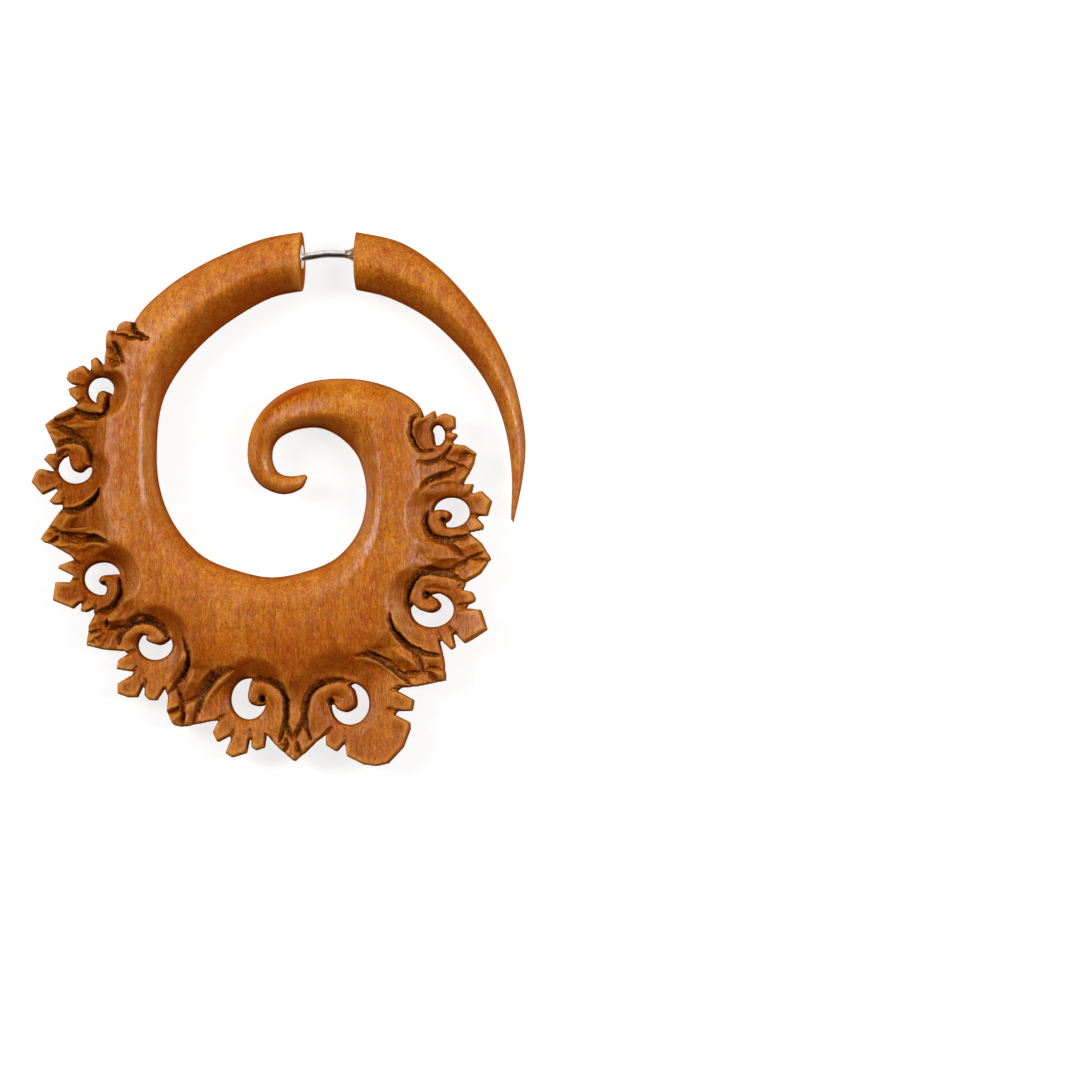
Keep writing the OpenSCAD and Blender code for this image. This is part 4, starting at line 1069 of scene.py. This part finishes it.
def make_pin():
    """The pin, from the bottom of the sleeve into the taper, with both ends rounded."""
    start, end = SOCKET_X - PIN_IN_SLEEVE, TAPER_X + PIN_IN_TAPER
    bends = [(PIN_R - PIN_TIP * (1 - math.sin(a)), PIN_TIP * (1 - math.cos(a)))
             for a in np.linspace(0, math.pi / 2, 6)]
    shank = np.linspace(start + PIN_TIP, end - PIN_TIP, 60)[1:-1]
    profile = [(PIN_HAIR, start), *[(r, start + x) for r, x in bends], *[(PIN_R, x) for x in shank],
               *[(r, end - x) for r, x in bends[::-1]], (PIN_HAIR, end)]
    piece = turned("pin_steel", profile, pin_middle, PIN_ROUND)
    note_facing(piece)
    placed(piece, "ear_pin", "taper", pin_finish())


def glue_strands(angles, x):
    """The glue is drawn in along strands that wind round it."""
    strands = np.sin(5 * angles + 0.8 * x) * np.sin(3 * angles - 1.0 + 1.5 * x)
    fade = smoothstep(TAPER_X - COLLAR_OUT, TAPER_X - 0.7, x) * (x < TAPER_X + 0.4)
    return -GLUE_STRANDS * (0.5 + 0.5 * strands) * fade


def make_glue():
    """The glue that stands up round the pin where it leaves the taper, a little uneven."""
    lip, inside, end = PIN_R + GLUE_THIN, PIN_R, TAPER_X + GLUE_IN
    flare = [(lip + (COLLAR_R - lip) * (1 - t) ** GLUE_FLARE, TAPER_X - COLLAR_OUT * t)
             for t in np.linspace(1, 0, 24)]
    profile = [(inside, TAPER_X - COLLAR_OUT), *flare, (COLLAR_R, end), (inside, end)]
    piece = turned("glue_bead", profile, pin_middle, GLUE_ROUND, glue_strands)
    placed(piece, "glue_collar", "taper", glue_finish())


class Wire:
    """A socket of a material's nodes, written as a value in expressions."""

    def __init__(self, tree, socket=None):
        self.tree, self.socket = tree, socket

    def node(self, kind, settings, sockets, outlet=0):
        """Any node: its type; its settings, which are set first; values or links of its sockets."""
        made = self.tree.nodes.new(kind)
        for name, value in settings.items():
            setattr(made, name, value)
        for name, value in sockets.items():
            if isinstance(value, Wire):
                self.tree.links.new(value.socket, made.inputs[name])
            else:
                alpha = (1,) if made.inputs[name].type == "RGBA" else ()
                value = (*value, *alpha) if isinstance(value, tuple) else value
                made.inputs[name].default_value = value
        return Wire(self.tree, made.outputs[outlet])

    def math(self, operation, *values, clamp=False):
        """One operation on numbers."""
        settings = {"operation": operation, "use_clamp": clamp}
        return self.node("ShaderNodeMath", settings, dict(enumerate(values)))

    def __add__(self, other): return self.math("ADD", self, other)
    def __radd__(self, other): return self.math("ADD", other, self)
    def __sub__(self, other): return self.math("SUBTRACT", self, other)
    def __rsub__(self, other): return self.math("SUBTRACT", other, self)
    def __mul__(self, other): return self.math("MULTIPLY", self, other)
    def __rmul__(self, other): return self.math("MULTIPLY", other, self)
    def __pow__(self, other): return self.math("POWER", self, other)

    def between(self, start, full):
        """0 at start, 1 at full, which may lie below it, and an even change between them."""
        return self.math("MULTIPLY", self - start, 1 / (full - start), clamp=True)

    def mixed(self, first, second, how="MIX"):
        """Two colours mixed: the first alone where this share is 0."""
        return self.node("ShaderNodeMix", {"data_type": "RGBA", "blend_type": how},
                         {0: self, 6: first, 7: second}, 2)

    def stretched(self, x, y, z):
        """A place, with each of its directions multiplied."""
        return self.node("ShaderNodeVectorMath", {"operation": "MULTIPLY"}, {0: self, 1: (x, y, z)})

    def direction(self, number):
        """One of the three numbers of a place."""
        return self.node("ShaderNodeSeparateXYZ", {}, {0: self}, number)

    def noise(self, scale, detail=3.0, roughness=0.55):
        """Noise from 0 to 1 over a place in mm."""
        return self.node("ShaderNodeTexNoise", {}, {"Vector": self, "Scale": scale,
                                                    "Detail": detail, "Roughness": roughness})

    def bump(self, height_mm, strength):
        """The direction of a surface that this height, from 0 to 1, makes uneven."""
        return self.node("ShaderNodeBump", {}, {"Height": self, "Strength": strength,
                                                "Distance": height_mm * MM})


class Finish:
    """A material, its shader, and what its surface varies with."""

    def __init__(self, name, **fixed):
        self.material = bpy.data.materials.new(name)
        self.material.use_nodes = True
        self.tree = self.material.node_tree
        self.shader = self.tree.nodes["Principled BSDF"]
        for socket, value in fixed.items():
            self.shader.inputs[socket.replace("_", " ")].default_value = value

    def place(self):
        """The place on the piece in millimetres."""
        place = Wire(self.tree).node("ShaderNodeTexCoord", {}, {}, "Object")
        return place.stretched(1 / MM, 1 / MM, 1 / MM)

    def note(self, name):
        """A map that the piece carries on its points."""
        return Wire(self.tree).node("ShaderNodeAttribute", {"attribute_name": name}, {}, "Fac")

    def feed(self, **sockets):
        """Links what varies over the surface to the shader."""
        for name, wire in sockets.items():
            self.tree.links.new(wire.socket, self.shader.inputs[name.replace("_", " ")])
        return self.material

    def dulled(self, share):
        """Mixes in the same surface without its shine, by a share."""
        dull = self.tree.nodes.new("ShaderNodeBsdfPrincipled")
        dull.inputs["Specular IOR Level"].default_value = 0.0
        dull.inputs["Roughness"].default_value = 1.0
        for name in ("Base Color", "Normal"):
            self.tree.links.new(self.shader.inputs[name].links[0].from_socket, dull.inputs[name])
        both = self.tree.nodes.new("ShaderNodeMixShader")
        for place, socket in enumerate((share.socket, self.shader.outputs[0], dull.outputs[0])):
            self.tree.links.new(socket, both.inputs[place])
        self.tree.links.new(both.outputs[0], self.tree.nodes["Material Output"].inputs["Surface"])
        return self.material


def wood(name, carved):
    """Waxed hardwood, its grain along y: broad patches, streaks, fine lines, short dark pores;
    painted shade on its walls and on faces turned down.
    """
    finish = Finish(name, Specular_IOR_Level=0.31)
    place = finish.place()
    grain = {noise: place.stretched(1, drawn_out, 1).noise(*rest)
             for noise, (drawn_out, *rest) in GRAIN.items()}
    fine, weave, pores = grain["fine"], grain["weave"], grain["pores"].between(0.58, 0.68)
    steep, under, over = map(finish.note, ("steep", "under", "over"))
    matt = steep + under * 0.6 + over * 0.5
    rough = 0.14 + 0.12 * fine + 0.14 * weave
    height = 0.5 * fine + 0.4 * weave + 0.3 * grain["streaks"] - 0.4 * pores

    # The layers of colour over the light wood: share; colour; how they mix, if not evenly.
    layers = [(grain[noise].between(start, full) * strength, tint)
              for noise, start, full, strength, tint in GRAIN_COLOURS]
    # Pores; painted shade on the walls and on the faces turned down.
    layers += [(pores * 0.45, WOOD_PORE), (steep * 0.55, WOOD_SIDE_SHADE), (under * 0.42, WOOD_SIDE_SHADE)]
    if carved:
        maps = ("dirt", "hollow", "border", "vein", "dull")
        dirt, hollow, border, vein, dull = map(finish.note, maps)
        speck, grit = place.noise(3.0, 3.0, 0.7), place.noise(6.0, 2.0, 0.7)
        low_part = (0 - place.direction(1)).between(8.5, 18.0)
        wear_and_highlight = (0 - hollow).between(0.25, 0.9)
        cut_darkening = (dirt * 2.8 - 1.6 + (speck - 0.5) * 2.0 + (grit - 0.5) * 0.8).between(0, 1)
        nick_glint = (dirt * 4.0).between(0.2, 1.0) * grit.between(0.58, 0.64) * speck.between(0.42, 0.5)
        layers += [
            # More painted shade on the faces turned down.
            (under * 0.25, WOOD_SIDE_SHADE),
            # Darker towards the bottom.
            (low_part * (1 - border.between(0, 1)), DARKENING_TINT, "MULTIPLY"),
            # Painted shade on the dull wood by the curl.
            (dull * 0.6, DARKENING_TINT, "MULTIPLY"),
            (vein * (0.55 + 0.7 * weave), WOOD_VEIN),
            # Painted shade on the carved wood, deeper on the left, and in its hollows.
            (border * (0.12 + 0.5 * speck), CARVED_SHADE, "MULTIPLY"),
            (hollow.between(0.10, 0.9) * 0.70, WOOD_SHADE),
            # Lighter on raised places: wear, and a painted highlight.
            (wear_and_highlight * (0.15 + 0.6 * grit) * 0.6, WOOD_PALE),
            (steep * border * 0.7, WOOD_SHADE),
            # Darker in the deepest cuts.
            (cut_darkening * 0.90, WOOD_CUT_DARK),
            # Pale specks in the cuts: nicks, and painted glints.
            (nick_glint * 0.55, WOOD_NICK_GLINT)]
        rough = rough + 0.12 * border + 0.30 * cut_darkening
        matt = matt + 0.4 * border + 0.4 * vein + 1.5 * dull
    colour = WOOD_LIGHT
    for share, tint, *how in layers:
        colour = share.mixed(colour, tint, *how)
    finish.feed(Base_Color=colour, Roughness=rough, Normal=height.bump(0.05, 0.7))
    return finish.dulled(matt.between(0, 1))


def sleeve_finish():
    """Pale metal with the marks of the lathe on its face and small dents."""
    finish = Finish("sleeve_metal", Metallic=1.0)
    place = finish.place()
    radius = ((place.direction(1) - PIN_Y) ** 2.0 + (place.direction(2) - FULL) ** 2.0) ** 0.5
    turning = place.node("ShaderNodeCombineXYZ", {}, {0: radius * 14.0}).noise(1.0)
    wear = place.noise(2.2)
    return finish.feed(Base_Color=wear.between(0.4, 0.7).mixed(SLEEVE_BRIGHT, SLEEVE_WORN),
                       Roughness=0.18 + 0.25 * turning + 0.12 * wear,
                       Normal=turning.bump(0.03, 0.3))


def pin_finish():
    """Drawn steel wire, with scratches along it, a slight tarnish and painted shade on its
    underside.
    """
    finish = Finish("pin_steel", Metallic=1.0)
    place = finish.place()
    drawn = place.stretched(0.25, 1, 1).noise(9.0, 4.0, 0.6)
    tarnish = place.noise(1.1)
    colour = (tarnish.between(0.45, 0.75) * 0.7).mixed(STEEL_BRIGHT, STEEL_TARNISHED)
    # Painted shade on the underside of the pin.
    return finish.feed(Base_Color=(finish.note("under") * 0.85).mixed(colour, STEEL_SHADED_BELOW),
                       Roughness=0.14 + 0.20 * drawn + 0.10 * tarnish,
                       Normal=drawn.bump(0.02, 0.3))


def glue_finish():
    """Hardened glue: brown, glossy, cloudy in places."""
    finish = Finish("glue", Coat_Roughness=0.1)
    place = finish.place()
    cloud, grit = place.noise(2.6, 4.0), place.noise(9.0, 2.0).between(0.60, 0.70)
    colour = cloud.between(0.42, 0.62).mixed(GLUE_DARK, GLUE_CLOUDY)
    return finish.feed(Base_Color=(grit * 0.6).mixed(colour, GLUE_GRIT),
                       Roughness=0.18 + 0.25 * cloud, Coat_Weight=0.1 + 0.2 * cloud,
                       Normal=cloud.bump(0.06, 0.5))


def make_floor():
    """The pale floor, which glows so that it shows as white."""
    bpy.ops.mesh.primitive_plane_add(size=FLOOR_SIZE, location=(0, 0, 0))
    floor = bpy.context.object
    floor.name = "floor"
    paint = Finish("pale_floor", Base_Color=FLOOR_GREY, Roughness=0.9, Specular_IOR_Level=0.1,
                   Emission_Color=(1, 1, 1, 1), Emission_Strength=FLOOR_GLOW)
    floor.data.materials.append(paint.material)


def make_studio():
    """The light from all round, and the softboxes."""
    world = bpy.data.worlds.new("studio")
    bpy.context.scene.world = world
    world.use_nodes = True
    world.node_tree.nodes["Background"].inputs["Color"].default_value = (1, 1, 1, 1)
    world.node_tree.nodes["Background"].inputs["Strength"].default_value = SKY
    for name, at, size, power in SOFTBOXES:
        light = bpy.data.lights.new(name, "AREA")
        light.shape = "RECTANGLE"
        light.size, light.size_y = size
        light.energy = power
        lamp = bpy.data.objects.new(name, light)
        bpy.context.collection.objects.link(lamp)
        lamp.location = at
        lamp.rotation_euler = (-Vector(at)).to_track_quat("-Z", "Y").to_euler()
    bpy.context.scene.view_settings.view_transform = "Standard"


def make_camera():
    """Far off and a little to the right of straight above, as the photograph was taken."""
    lens = bpy.data.cameras.new("camera")
    camera = bpy.data.objects.new("camera", lens)
    bpy.context.collection.objects.link(camera)
    target = Vector(((PHOTO_PX / 2 - MIDDLE_PX[0]) / PX_PER_MM * MM,
                     (MIDDLE_PX[1] - PHOTO_PX / 2) / PX_PER_MM * MM, FULL * MM))
    right, below = (math.radians(a) for a in CAMERA_TURN)
    back = Vector((math.sin(right), -math.sin(below), math.cos(right) * math.cos(below)))
    back.normalize()
    lens.sensor_width = SENSOR_MM
    lens.lens = SENSOR_MM * CAMERA_AWAY / (PICTURE_MM * MM)
    lens.clip_start, lens.clip_end = 0.01, 20
    side = Vector((0, 1, 0)).cross(back).normalized()
    camera.location = target + back * CAMERA_AWAY
    camera.rotation_euler = Matrix((side, back.cross(side), back)).transposed().to_euler()
    bpy.context.scene.camera = camera


make_carved_spiral()
make_taper()
make_sleeve()
make_pin()
make_glue()
make_floor()
make_studio()
make_camera()
